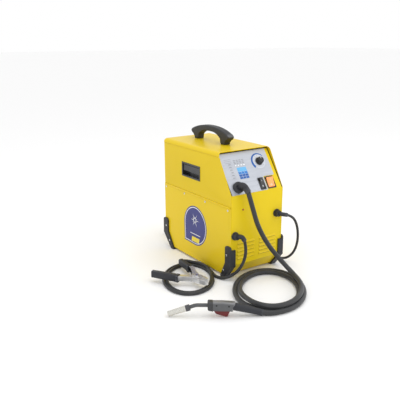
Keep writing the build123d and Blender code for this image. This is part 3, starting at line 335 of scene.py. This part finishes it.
SPOOL = surface("spool_plastic", (0.050, 0.052, 0.056), (0.075, 0.077, 0.082), (0.40, 0.55), patch=24.0,
                grain=900.0, grain_depth=0.00005)
ORANGE = surface("rocker_orange", (0.90, 0.28, 0.06), (1.0, 0.42, 0.14), (0.22, 0.32), patch=40.0,
                 grain=600.0, grain_depth=0.00002, Emission_Color=(1.0, 0.33, 0.08, 1),
                 Emission_Strength=0.25, Transmission_Weight=0.1)
SCREW = surface("screw_zinc", (0.70, 0.70, 0.70), (0.85, 0.85, 0.84), (0.20, 0.34), patch=120.0,
                grain=1200.0, grain_depth=0.00003, Metallic=1.0)
INK_BLUE = surface("ink_blue", (0.010, 0.085, 0.34), (0.016, 0.120, 0.42), (0.3, 0.4), patch=30.0)
INK_CYAN = surface("ink_cyan", (0.12, 0.43, 0.76), (0.17, 0.50, 0.82), (0.3, 0.4), patch=30.0)
INK_MID = surface("ink_mid_blue", (0.025, 0.19, 0.56), (0.040, 0.24, 0.62), (0.3, 0.4), patch=30.0)
INK_NAVY = surface("ink_navy", (0.016, 0.020, 0.165), (0.026, 0.032, 0.21), (0.28, 0.38), patch=20.0)
INK_WHITE = surface("ink_white", (0.78, 0.79, 0.82), (0.86, 0.87, 0.89), (0.3, 0.4), patch=30.0)
# painted shadow: the dark yellow of the shade under the louvre hoods
LOUVRE_PAINTED_SHADOW = surface("louvre_painted_shadow", (0.10, 0.070, 0.004), (0.15, 0.105, 0.006), (0.5, 0.7), patch=30.0)
INK_SILVER = surface("ink_silver", (0.60, 0.63, 0.69), (0.66, 0.69, 0.75), (0.3, 0.4), patch=30.0)
INK_GREY = surface("ink_grey", (0.24, 0.25, 0.28), (0.32, 0.33, 0.36), (0.3, 0.4), patch=30.0)
INK_YELLOW = surface("ink_yellow", (0.82, 0.64, 0.03), (0.88, 0.70, 0.05), (0.3, 0.4), patch=20.0)
LED_RED = surface("lamp_red", (0.55, 0.035, 0.02), (0.70, 0.06, 0.04), (0.12, 0.2), patch=80.0,
                  Emission_Color=(0.9, 0.1, 0.05, 1), Emission_Strength=0.15)


def winding_material(name, dark, light, turns, stretch, **constants):
    """Close turns of wire: a banded bump and tone across them."""
    material, tree, shader = node_tree(name)
    vector = object_place(tree, stretch)
    wave = add(tree, "ShaderNodeTexWave", Scale=turns, Distortion=0.4, Detail=2.0)
    tree.links.new(vector, wave.inputs["Vector"])
    tree.links.new(ramp(tree, wave.outputs["Fac"], dark, light), shader.inputs["Base Color"])
    tree.links.new(span(tree, noise(tree, vector, 200.0), 0.28, 0.44), shader.inputs["Roughness"])
    tree.links.new(bump(tree, wave.outputs["Fac"], 0.8, 0.0004), shader.inputs["Normal"])
    for key, value in constants.items():
        shader.inputs[key.replace("_", " ")].default_value = value
    return material


WINDING = winding_material("winding", (0.30, 0.10, 0.045), (0.62, 0.26, 0.13), 90.0, (1, 0, 1), Metallic=0.7)
WIRE_TURNS = winding_material("wire_turns", (0.34, 0.22, 0.12), (0.78, 0.60, 0.42), 160.0, (1, 0, 0),
                              Metallic=1.0)

NODE_MATERIALS = {
    CASE: ("base_shell", "top_cover", "side_door", "hinge_leaf", "hinge_pin"),
    FRONT_PAINT: ("front_panel", "rear_panel"),
    ZINC: ("latch_bolt", "inner_partition", "feed_motor", "feed_plate",
           "pressure_arm", "potentiometer", "clamp_spring"),
    BRIGHT_STEEL: ("drive_roller", "pressure_roller", "clamp_pin"),
    PRESSED_STEEL: ("clamp_fixed_jaw", "clamp_moving_jaw"),
    NOZZLE: ("torch_nozzle",), SILVER_PLATE: ("control_plate",),
    BLACK: ("fan_frame", "fan_blades", "tension_screw", "spool_holder", "spool_nut", "speed_knob",
            "torch_insulator"),
    HANDLE_BLACK: ("top_handle",),
    GLOSS_BLACK: ("power_switch", "selector_switch", "selector_rocker"),
    RUBBER: ("corner_bumpers", "torch_outlet", "ground_gland", "mains_gland", "mains_plug", "torch_boot",
             "clamp_fixed_grip", "clamp_moving_grip"),
    WINDOW: ("latch_cup", "latch_paddle"), TORCH_GREY: ("torch_handle",), TRIGGER_RED: ("torch_trigger",),
    NECK: ("torch_neck",), COPPER: ("contact_tip",), CORE: ("transformer_core",),
    WINDING: ("transformer_windings",), ALUMINIUM: ("rectifier",), BOARD: ("control_board",),
    SPOOL: ("wire_spool",), WIRE_TURNS: ("wire_pack",), ORANGE: ("power_rocker",), SCREW: ("panel_screws",),
}
for material, names in NODE_MATERIALS.items():
    for name in names:
        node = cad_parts[name]
        for entry in node.material_slots:
            entry.material = material


def soften(name, width, segments=3, angle=35.0):
    """Rounds the sharp edges of a CAD node with modifiers."""
    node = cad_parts[name]
    weld = node.modifiers.new("weld", "WELD")
    weld.merge_threshold = 0.00001
    bevel = node.modifiers.new("bevel", "BEVEL")
    bevel.width = width * MM
    bevel.segments = segments
    bevel.limit_method = "ANGLE"
    bevel.angle_limit = math.radians(angle)
    bevel.use_clamp_overlap = True
    bevel.harden_normals = True


for name, width in (("top_handle", 3.0), ("corner_bumpers", 1.5), ("mains_plug", 1.0), ("torch_trigger", 0.8),
                    ("clamp_fixed_grip", 0.8), ("clamp_moving_grip", 0.8), ("power_switch", 0.5),
                    ("selector_switch", 0.5), ("power_rocker", 0.6), ("selector_rocker", 0.6),
                    ("clamp_fixed_jaw", 0.35), ("clamp_moving_jaw", 0.35), ("latch_cup", 0.5)):
    soften(name, width)

# ---------------------------------------------------------------- mesh helpers


def link_mesh(name, shape, material, body, smooth=True):
    """A finished bmesh as a piece that rides on a body."""
    bmesh.ops.recalc_face_normals(shape, faces=shape.faces)
    mesh = bpy.data.meshes.new(name)
    shape.to_mesh(mesh)
    shape.free()
    mesh.materials.append(material)
    if smooth:
        mesh.shade_smooth()
        mesh.set_sharp_from_angle(angle=math.radians(35))
    obj = bpy.data.objects.new(name, mesh)
    bpy.context.scene.collection.objects.link(obj)
    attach(obj, body)
    return obj


def round_edges(obj, width, segments=3, angle=40.0):
    """A bevel on the sharp edges of a piece, in millimetres."""
    bevel = obj.modifiers.new("bevel", "BEVEL")
    bevel.width = width * MM
    bevel.segments = segments
    bevel.limit_method = "ANGLE"
    bevel.angle_limit = math.radians(angle)
    bevel.harden_normals = True


def raised(shape, outline, place, low, high):
    """Adds an outline in a plane, grown from low to high, to a bmesh. place maps (a, b, out) to a point."""
    bottom = [shape.verts.new(place(a, b, low)) for a, b in outline]
    top = [shape.verts.new(place(a, b, high)) for a, b in outline]
    shape.faces.new(bottom[::-1])
    shape.faces.new(top)
    for i in range(len(outline)):
        j = (i + 1) % len(outline)
        shape.faces.new((bottom[i], bottom[j], top[j], top[i]))


def raised_ring(shape, outer, inner, place, low, high):
    """The same for the band between two outlines with as many points."""
    loops = [[shape.verts.new(place(a, b, out)) for a, b in outline]
             for outline, out in ((outer, low), (outer, high), (inner, high), (inner, low))]
    for first, second in zip(loops, loops[1:] + loops[:1]):
        for i in range(len(outer)):
            j = (i + 1) % len(outer)
            shape.faces.new((first[i], first[j], second[j], second[i]))


def lathe(shape, profile, place, count=48, flutes=0, depth=0.0, fluted=()):
    """Turns a profile of (radius, out) about a local axis. Rings listed in fluted are scalloped."""
    rings = []
    for index, (radius, out) in enumerate(profile):
        ring = []
        for i in range(count):
            t = 2 * math.pi * i / count
            cut = depth * (0.5 - 0.5 * math.cos(flutes * t)) if index in fluted else 0.0
            r = max(radius - cut, 0.01)
            ring.append(shape.verts.new(place(r * math.cos(t), r * math.sin(t), out)))
        rings.append(ring)
    for first, second in zip(rings, rings[1:]):
        for i in range(count):
            j = (i + 1) % count
            shape.faces.new((first[i], first[j], second[j], second[i]))
    shape.faces.new(rings[0][::-1])
    shape.faces.new(rings[-1])


def circle(centre, radius, count=64):
    """Points round a circle."""
    return [(centre[0] + radius * math.cos(2 * math.pi * i / count),
             centre[1] + radius * math.sin(2 * math.pi * i / count)) for i in range(count)]


def rectangle(x, y):
    """The corners of a rectangle between two pairs of values."""
    return [(x[0], y[0]), (x[1], y[0]), (x[1], y[1]), (x[0], y[1])]


def cross(shape, reach, half, place, low, high):
    """Adds the two bars of a cross, grown from low to high, to a bmesh."""
    raised(shape, rectangle((-reach, reach), (-half, half)), place, low, high)
    raised(shape, rectangle((-half, half), (-reach, reach)), place, low, high)


PANEL_ORIGIN = Vector((0, CASE_FRONT, 284))
PANEL_OUT = Vector((0, -126, 87.5)).normalized()
PANEL_UP = Vector((0, 87.5, 126)).normalized()
KNOB = (50.0, 105.0)
PLATE_TOP = 1.0          # the control plate's face above the slope


def on_panel(x, along, out):
    """A place on the sloped panel, from millimetres."""
    return (PANEL_ORIGIN + Vector((x, 0, 0)) + PANEL_UP * along + PANEL_OUT * out) * MM


def round_knob(a, b, out):
    """A place about the speed knob's axis."""
    return on_panel(KNOB[0] + a, KNOB[1] + b, out)


def on_left(y, z, out):
    """A place on the case's left side."""
    return Vector((-CASE_SIDE - out, y, z)) * MM


def on_front(x, z, out):
    """A place on the upright front."""
    return Vector((x, CASE_FRONT - out, z)) * MM


# ---------------------------------------------------------------- control plate print


def print_piece(name, material, outlines, place, body="machine", low=PLATE_TOP - 0.02, high=PLATE_TOP + 0.10):
    """Flat printed shapes of one ink, as one thin piece."""
    shape = bmesh.new()
    for outline in outlines:
        raised(shape, outline, place, low, high)
    return link_mesh(name, shape, material, body, smooth=False)


def arc_band(centre, inner, outer, start, end, count=40):
    """A band along an arc whose width runs between two pairs of radii."""
    def edge(radii):
        points = []
        for i in range(count + 1):
            t = math.radians(start + (end - start) * i / count)
            r = radii[0] + (radii[1] - radii[0]) * i / count
            points.append((centre[0] + r * math.cos(t), centre[1] + r * math.sin(t)))
        return points
    return edge(outer) + edge(inner)[::-1]


def dial_angle(i):
    """The direction of the dial's mark i of 0 to 10, in radians."""
    return math.radians(225 - 27 * i)


def dial_print():
    """The pale dial, its blue gauge arc, ticks and numbers."""
    print_piece("dial_disc", INK_SILVER, [circle((0, 0), 26.0)], round_knob, high=PLATE_TOP + 0.06)
    arc = arc_band((0, 0), (23.5, 27.0), (32.5, 30.0), 222, 40)
    print_piece("dial_arc", INK_BLUE, [arc], round_knob)
    ticks = []
    for i in range(11):
        t = dial_angle(i)
        along = Vector((math.cos(t), math.sin(t)))
        aside = Vector((-along.y, along.x)) * 0.35
        corners = ((16.0, 1), (18.4, 1), (18.4, -1), (16.0, -1))
        ticks.append([tuple(along * r + aside * s) for r, s in corners])
    print_piece("dial_ticks", INK_GREY, ticks, round_knob)
    for i in range(11):
        t = dial_angle(i)
        text = bpy.data.curves.new(f"dial_number_{i}", "FONT")
        text.body = str(i)
        text.size = 4.0 * MM
        text.extrude = 0.05 * MM
        text.align_x = "CENTER"
        text.align_y = "CENTER"
        text.materials.append(INK_GREY)
        obj = bpy.data.objects.new(f"dial_number_{i}", text)
        turn = Matrix((Vector((1, 0, 0)), PANEL_UP, PANEL_OUT)).transposed().to_4x4()
        place = round_knob(21.4 * math.cos(t), 21.4 * math.sin(t), PLATE_TOP + 0.08)
        obj.matrix_world = Matrix.Translation(place) @ turn
        bpy.context.scene.collection.objects.link(obj)
        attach(obj, "machine")


def table_print():
    """The settings table: a blue block in three tones with a plain grid, and rules and icons beside it."""
    x = (-50.0, -12.0)
    for name, ink, rows in (("table_cyan", INK_CYAN, (79.0, 94.0)), ("table_mid", INK_MID, (69.5, 79.0)),
                            ("table_blue", INK_BLUE, (53.0, 69.5))):
        print_piece(name, ink, [rectangle(x, rows)], on_panel)
    grid = [rectangle((x[0] + 12.7 * i - 0.25, x[0] + 12.7 * i + 0.25), (54.0, 78.0)) for i in (1, 2)]
    grid += [rectangle((x[0] + 1, x[1] - 1), (z - 0.25, z + 0.25)) for z in (61.0, 69.5, 79.0)]
    print_piece("table_grid", INK_WHITE, grid, on_panel, high=PLATE_TOP + 0.16)
    rules = [rectangle((-84.0, -62.0), (56.0 + 9.6 * i, 56.5 + 9.6 * i)) for i in range(7)]
    rules += [rectangle((-78.0, -68.0), (59.0 + 9.6 * i, 61.8 + 9.6 * i)) for i in range(6)]
    print_piece("table_rules", INK_GREY, rules, on_panel)
    icons = [rectangle((-54.0 + 11.5 * i, -46.0 + 11.5 * i), (99.0, 105.0)) for i in range(4)]
    print_piece("table_icons", INK_GREY, icons, on_panel)
    print_piece("table_icon_faces", INK_WHITE, [rectangle((-53.2 + 11.5 * i, -46.8 + 11.5 * i), (99.8, 104.2))
                                                for i in range(4)], on_panel, high=PLATE_TOP + 0.16)
    header = [rectangle((-54.0 + 11.5 * i, -46.0 + 11.5 * i), (108.0 + 5.5 * row, 111.0 + 5.5 * row))
              for i in range(4) for row in range(3)]
    header += [rectangle((-90.0, -62.0), (114.0 + 6.0 * i, 115.0 + 6.0 * i)) for i in range(3)]
    print_piece("table_header", INK_GREY, header, on_panel)
    marks = [rectangle((8.0, 12.0), (10.0 + 15 * i, 10.8 + 15 * i)) for i in range(3)]
    print_piece("switch_marks", INK_GREY, marks, on_panel)


dial_print()
table_print()

# ---------------------------------------------------------------- knob and switches


def knob_piece():
    """The speed knob: a skirt, a fluted grip with a dished top, and a white pointer."""
    shape = bmesh.new()
    profile = [(13.6, 1.5), (14.0, 2.0), (14.0, 3.4), (12.6, 4.8), (12.2, 6.0), (11.6, 15.8), (10.8, 17.4),
               (9.6, 18.0), (8.8, 17.6), (2.0, 17.3)]
    lathe(shape, profile, round_knob, count=144, flutes=18, depth=0.9, fluted=(4, 5, 6))
    knob = link_mesh("knob_grip", shape, BLACK, "speed_dial")
    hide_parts("speed_knob")
    pointer = bmesh.new()
    raised(pointer, rectangle((-0.7, 0.7), (3.0, 9.4)), round_knob, 17.2, 18.15)
    link_mesh("knob_pointer", pointer, INK_WHITE, "speed_dial", smooth=False)


def rocker_marks():
    """A bar and a ring on each rocker, printed on its two faces."""
    for name, x, body, base in (("power", 65.0, "power_key", 0.0), ("selector", 27.5, "selector_key", 1.0)):
        half = 17.3
        lean = math.tan(math.radians(10.0)) * half
        def face(a, b, out, x=x, base=base, half=half, lean=lean):
            share = b / half
            high = 3.4 + (0.8 + lean) * share if b > 0 else 3.4 - (1.6 - lean) * share
            return on_panel(x + a, 25.5 + b, base + high + out)
        shape = bmesh.new()
        raised(shape, rectangle((-0.6, 0.6), (7.0, 12.5)), face, -0.05, 0.12)
        raised_ring(shape, circle((0, -9.5), 2.9, 32), circle((0, -9.5), 1.9, 32), face, -0.05, 0.12)
        link_mesh(f"{name}_marks", shape, INK_WHITE, body, smooth=False)


def lamp():
    """The indicator lamp in its bezel, on the upright front."""
    place = lambda a, b, out: on_front(-61 + a, 233 + b, out)
    bezel = bmesh.new()
    lathe(bezel, [(3.3, -0.2), (3.3, 0.7), (2.9, 1.1), (2.3, 1.1)], place, 40)
    link_mesh("lamp_bezel", bezel, BLACK, "machine")
    dome = bmesh.new()
    lathe(dome, [(2.2, 0.4), (2.2, 1.4), (1.9, 2.2), (1.3, 2.8), (0.4, 3.0)], place, 32)
    link_mesh("lamp_dome", dome, LED_RED, "machine")


def cover_seal():
    """A thin black strip, shaped like a seal, along the top and both sides of the sunk panel: painted shade
    for the dark gap between the cover and the plate.
    """
    strips = [rectangle((-106.2, 106.2), (149.6, 152.8))]
    strips += [rectangle(x, (2.0, 149.6)) for x in ((-107.8, -105.6), (105.6, 107.8))]
    # painted shade: black strips where the gap between cover and plate lies in shade
    print_piece("cover_seal", GLOSS_BLACK, strips, on_panel, low=-0.3, high=1.0)


LOUVRE_ROWS = [65.0 + 13.4 * row for row in range(5)]
LOUVRE_COLUMNS = ((-82.0, -12.0), (11.0, 81.0))


def louvre_shades():
    """Painted shadow: a dark strip under every louvre hood, for the shade the hood casts on the front."""
    lines = [rectangle(x, (z - 3.4, z + 0.2)) for x in LOUVRE_COLUMNS for z in LOUVRE_ROWS]
    print_piece("louvre_shades", LOUVRE_PAINTED_SHADOW, lines, on_front, low=-0.2, high=0.5)


knob_piece()
rocker_marks()
lamp()
cover_seal()
louvre_shades()

# ---------------------------------------------------------------- badge on the left side


BADGE_CENTRE = (2, 128)
BADGE_HALF = (72, 73)
INK_FIELD, INK_OVER = (-0.02, 0.25), (0.2, 0.34)      # heights of the badge's two layers


def badge_outline(scale):
    """A rounded badge with one drawn-out lower rear corner, whose outline tends to a square there."""
    points = []
    for i in range(96):
        t = 2 * math.pi * i / 96
        c, s = math.cos(t), math.sin(t)
        corner = max(0.0, c) * max(0.0, -s) * 2
        power = 1.0 - 0.88 * corner
        points.append((BADGE_CENTRE[0] + BADGE_HALF[0] * scale * math.copysign(abs(c) ** power, c),
                       BADGE_CENTRE[1] + BADGE_HALF[1] * scale * math.copysign(abs(s) ** power, s)))
    return points


def badge_print(name, ink, outlines, heights=INK_OVER):
    """Printed shapes of one ink on the badge."""
    print_piece(name, ink, outlines, on_left, low=heights[0], high=heights[1])


def badge():
    """The badge: a dark rim, a white ring, a dark field with a spark, and a small yellow block."""
    badge_print("badge_rim", INK_NAVY, [badge_outline(1.0)], INK_FIELD)
    ring = bmesh.new()
    raised_ring(ring, badge_outline(0.94), badge_outline(0.90), on_left, *INK_OVER)
    link_mesh("badge_ring", ring, INK_WHITE, "machine", smooth=False)
    middle = Vector((4, 148))
    spark = []
    for i in range(12):
        t = 2 * math.pi * i / 12
        reach = 26.0 if i % 2 == 0 else 15.0
        tip = Vector((math.cos(t), math.sin(t)))
        aside = Vector((-tip.y, tip.x))
        spark.append([tuple(middle + v) for v in (tip * 6 + aside * 1.6, tip * reach, tip * 6 - aside * 1.6)])
    badge_print("badge_spark", INK_WHITE, spark)
    badge_print("badge_block", INK_YELLOW, [[(-22, 66), (26, 66), (22, 84), (-26, 84)]])
    badge_print("badge_line", INK_WHITE, [rectangle((-30, 34), (94, 96.4))])


badge()

# ---------------------------------------------------------------- handle


HANDLE_MIDDLE = 55.0
HANDLE_HALF = 117.0
HANDLE_HIGH = 57.0


def handle_arch(s):
    """A place on the underside of the handle's grip, for s from -1 at the front foot to 1 at the rear one."""
    return HANDLE_MIDDLE + 66 * s, CASE_TOP + 18 + 20 * (1 - abs(s) ** 2.8)


def on_handle(a, b, out):
    """A place on the handle, from its distance along the case, its height and its distance aside."""
    return Vector((out, a, b)) * MM


def handle():
    """The arched handle with soft edges, its two feet and its overhanging ends."""
    top = CASE_TOP
    crest = [(HANDLE_MIDDLE + HANDLE_HALF * s, top + HANDLE_HIGH - 24 * abs(s) ** 2.3)
             for s in [i / 16 - 1 for i in range(1, 32)]]
    front_end = [(-62, top + 27), (-60.5, top + 31)]
    rear_end = [(170.5, top + 31), (172, top + 27), (166, top + 20), (158, top + 16), (149, top + 6),
                (148, top - 0.3)]
    arch = [handle_arch(1 - i / 12) for i in range(25)]
    under = [(125, top - 0.3), (124, top + 6)] + arch + [(-13, top + 6), (-15, top - 0.3)]
    front_foot = [(-38, top - 0.3), (-39, top + 6), (-48, top + 16), (-56, top + 20)]
    outline = front_end + crest + rear_end + under + front_foot
    shape = bmesh.new()
    raised(shape, outline, on_handle, -14.0, 14.0)
    grip = link_mesh("handle_grip", shape, HANDLE_BLACK, "machine")
    round_edges(grip, 4.5, 5, 50.0)
    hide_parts("top_handle")
    ribs = bmesh.new()
    for i in range(15):
        y, z = handle_arch((6 * i - 42) / 66)
        raised(ribs, rectangle((y - 1.2, y + 1.2), (z - 1.0, z + 2.0)), on_handle, -9.5, 9.5)
    link_mesh("handle_ribs", ribs, HANDLE_BLACK, "machine", smooth=False)


handle()

# ---------------------------------------------------------------- screws


def screw_recesses():
    """The crossed recess in every pan-head screw, drawn as a dark raised cross: painted shade for the recess.
    Bumpers, seam, cover and rear panel.
    """
    heads = []
    across, along = Vector((1, 0, 0)), Vector((0, 1, 0))
    for side in (-1, 1):
        for y, z in ((-195, 80), (-178, 22), (195, 78), (172, 24)):
            heads.append((Vector((side * (CASE_SIDE + BUMPER), y, z)), side * across, along))
        for y in (-192, -62, 71, 198):
            heads.append((Vector((side * CASE_SIDE, y, 233)), side * across, along))
    for y in (-192, -62, 198):
        heads.append((Vector((CASE_SIDE, y, 256)), across, along))
    for x in (-90, 90):
        for z in (90, 235, 395):
            heads.append((Vector((x, CASE_REAR, z)), along, across))
    shape = bmesh.new()
    for index, (seat, out, aside) in enumerate(heads):
        up = out.cross(aside)
        turn = math.radians(17 + 31 * index)
        a_dir = aside * math.cos(turn) + up * math.sin(turn)
        b_dir = up * math.cos(turn) - aside * math.sin(turn)
        place = lambda a, b, h: (seat + a_dir * a + b_dir * b + out * h) * MM
        # painted shade: a black cross stands for the shaded recess in each zinc head
        cross(shape, 1.7, 0.35, place, 1.9, 2.28)
    link_mesh("screw_recesses", shape, GLOSS_BLACK, "machine", smooth=False)


screw_recesses()

# ---------------------------------------------------------------- torch


def torch_collar():
    """The black collar round the front of the torch's handle."""
    def loop(s, low, high, half, corner=6.0):
        points = []
        for quarter, (a, b) in enumerate(((1, 1), (-1, 1), (-1, -1), (1, -1))):
            centre = (a * (half - corner), (high - corner) if b > 0 else (low + corner))
            for i in range(7):
                t = math.radians(90 * quarter + 15 * i)
                points.append((s, centre[1] + corner * math.sin(t), centre[0] + corner * math.cos(t)))
        return points
    sections = [loop(149.0, 19.6, 47.6, 12.6), loop(149.4, 18.8, 48.4, 13.2), loop(161.8, 21.2, 49.0, 13.2),
                loop(164.2, 23.4, 47.2, 11.4, 5.0), loop(164.6, 27.0, 43.0, 8.0, 4.0)]
    shape = bmesh.new()
    rings = [[shape.verts.new(in_torch(*p) * MM) for p in section] for section in sections]
    for first, second in zip(rings, rings[1:]):
        for i in range(len(first)):
            j = (i + 1) % len(first)
            shape.faces.new((first[i], first[j], second[j], second[i]))
    shape.faces.new(rings[0][::-1])
    shape.faces.new(rings[-1])
    link_mesh("torch_collar", shape, BLACK, "machine")


def torch_screws():
    """The two screws that hold the halves of the torch's handle, on the side that faces out."""
    shape = bmesh.new()
    marks = bmesh.new()
    for s, t in ((103.0, 36.0), (139.0, 39.0)):
        place = lambda a, b, out: in_torch(s + a, t + b, -(12.3 + out)) * MM
        lathe(shape, [(3.0, 0), (3.0, 0.5), (2.5, 0.9), (0.5, 1.0)], place, 28)
        cross(marks, 1.5, 0.3, place, 0.6, 1.06)
    link_mesh("torch_screws", shape, BLACK, "machine")
    link_mesh("torch_screw_marks", marks, GLOSS_BLACK, "machine", smooth=False)


torch_collar()
torch_screws()

# ---------------------------------------------------------------- clamp spring and plug pins


def clamp_spring():
    """The torsion spring on the clamp's pin: close turns."""
    centre = Vector((-228, -183.6, 20.8))
    radius, high, turns, steps = 5.6, 8.0, 5, 16
    points = []
    for i in range(turns * steps + 1):
        t = 2 * math.pi * i / steps
        points.append(centre + Vector((radius * math.cos(t), radius * math.sin(t),
                                       high * i / (turns * steps) - high / 2)))
    line = cord_curve("spring_turns", mm(points), 0.75 * MM, BRIGHT_STEEL)
    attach(line, "machine")
    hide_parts("clamp_spring")


def plug_pins():
    """Bright sleeves on the plug's two pins."""
    shape = bmesh.new()
    for y in (296.5, 315.5):
        place = lambda a, b, out: Vector((-38 - out, y + a, 12 + b)) * MM
        lathe(shape, [(2.46, -0.5), (2.46, 17.6), (2.1, 18.8), (1.2, 19.3)], place, 28)
    link_mesh("plug_pins", shape, BRIGHT_STEEL, "machine")


clamp_spring()
plug_pins()

# ---------------------------------------------------------------- floor and light


def studio_floor():
    """A plain pale floor."""
    mesh = bpy.data.meshes.new("floor")
    shape = bmesh.new()
    bmesh.ops.create_grid(shape, x_segments=2, y_segments=2, size=40.0)
    shape.to_mesh(mesh)
    shape.free()
    obj = bpy.data.objects.new("floor", mesh)
    obj.location.z = FLOOR - 0.0001
    bpy.context.scene.collection.objects.link(obj)
    material, _, shader = node_tree("floor_white")
    shader.inputs["Base Color"].default_value = (0.96, 0.96, 0.96, 1)
    shader.inputs["Roughness"].default_value = 0.9
    mesh.materials.append(material)


def area_light(name, place, target, size, power):
    """A square soft box aimed at a point."""
    data = bpy.data.lights.new(name, "AREA")
    data.size = size
    data.energy = power
    obj = bpy.data.objects.new(name, data)
    obj.location = place
    obj.rotation_euler = (Vector(target) - Vector(place)).to_track_quat("-Z", "Y").to_euler()
    bpy.context.scene.collection.objects.link(obj)


def studio():
    """A bright white world with a large soft box overhead and one to each side."""
    world = bpy.data.worlds.new("studio")
    bpy.context.scene.world = world
    world.use_nodes = True
    world.node_tree.nodes["Background"].inputs["Color"].default_value = (1.0, 1.0, 1.0, 1)
    world.node_tree.nodes["Background"].inputs["Strength"].default_value = 1.0
    area_light("overhead", (0.1, -0.5, 2.4), (0, 0, 0.1), 1.8, 10.0)
    area_light("front_right", (1.6, -2.2, 1.5), (0, -0.1, 0.2), 1.4, 7.0)
    area_light("left_fill", (-2.4, -0.8, 1.2), (0, 0, 0.2), 1.6, 2.0)
    bpy.context.scene.view_settings.view_transform = "Standard"


studio_floor()
studio()
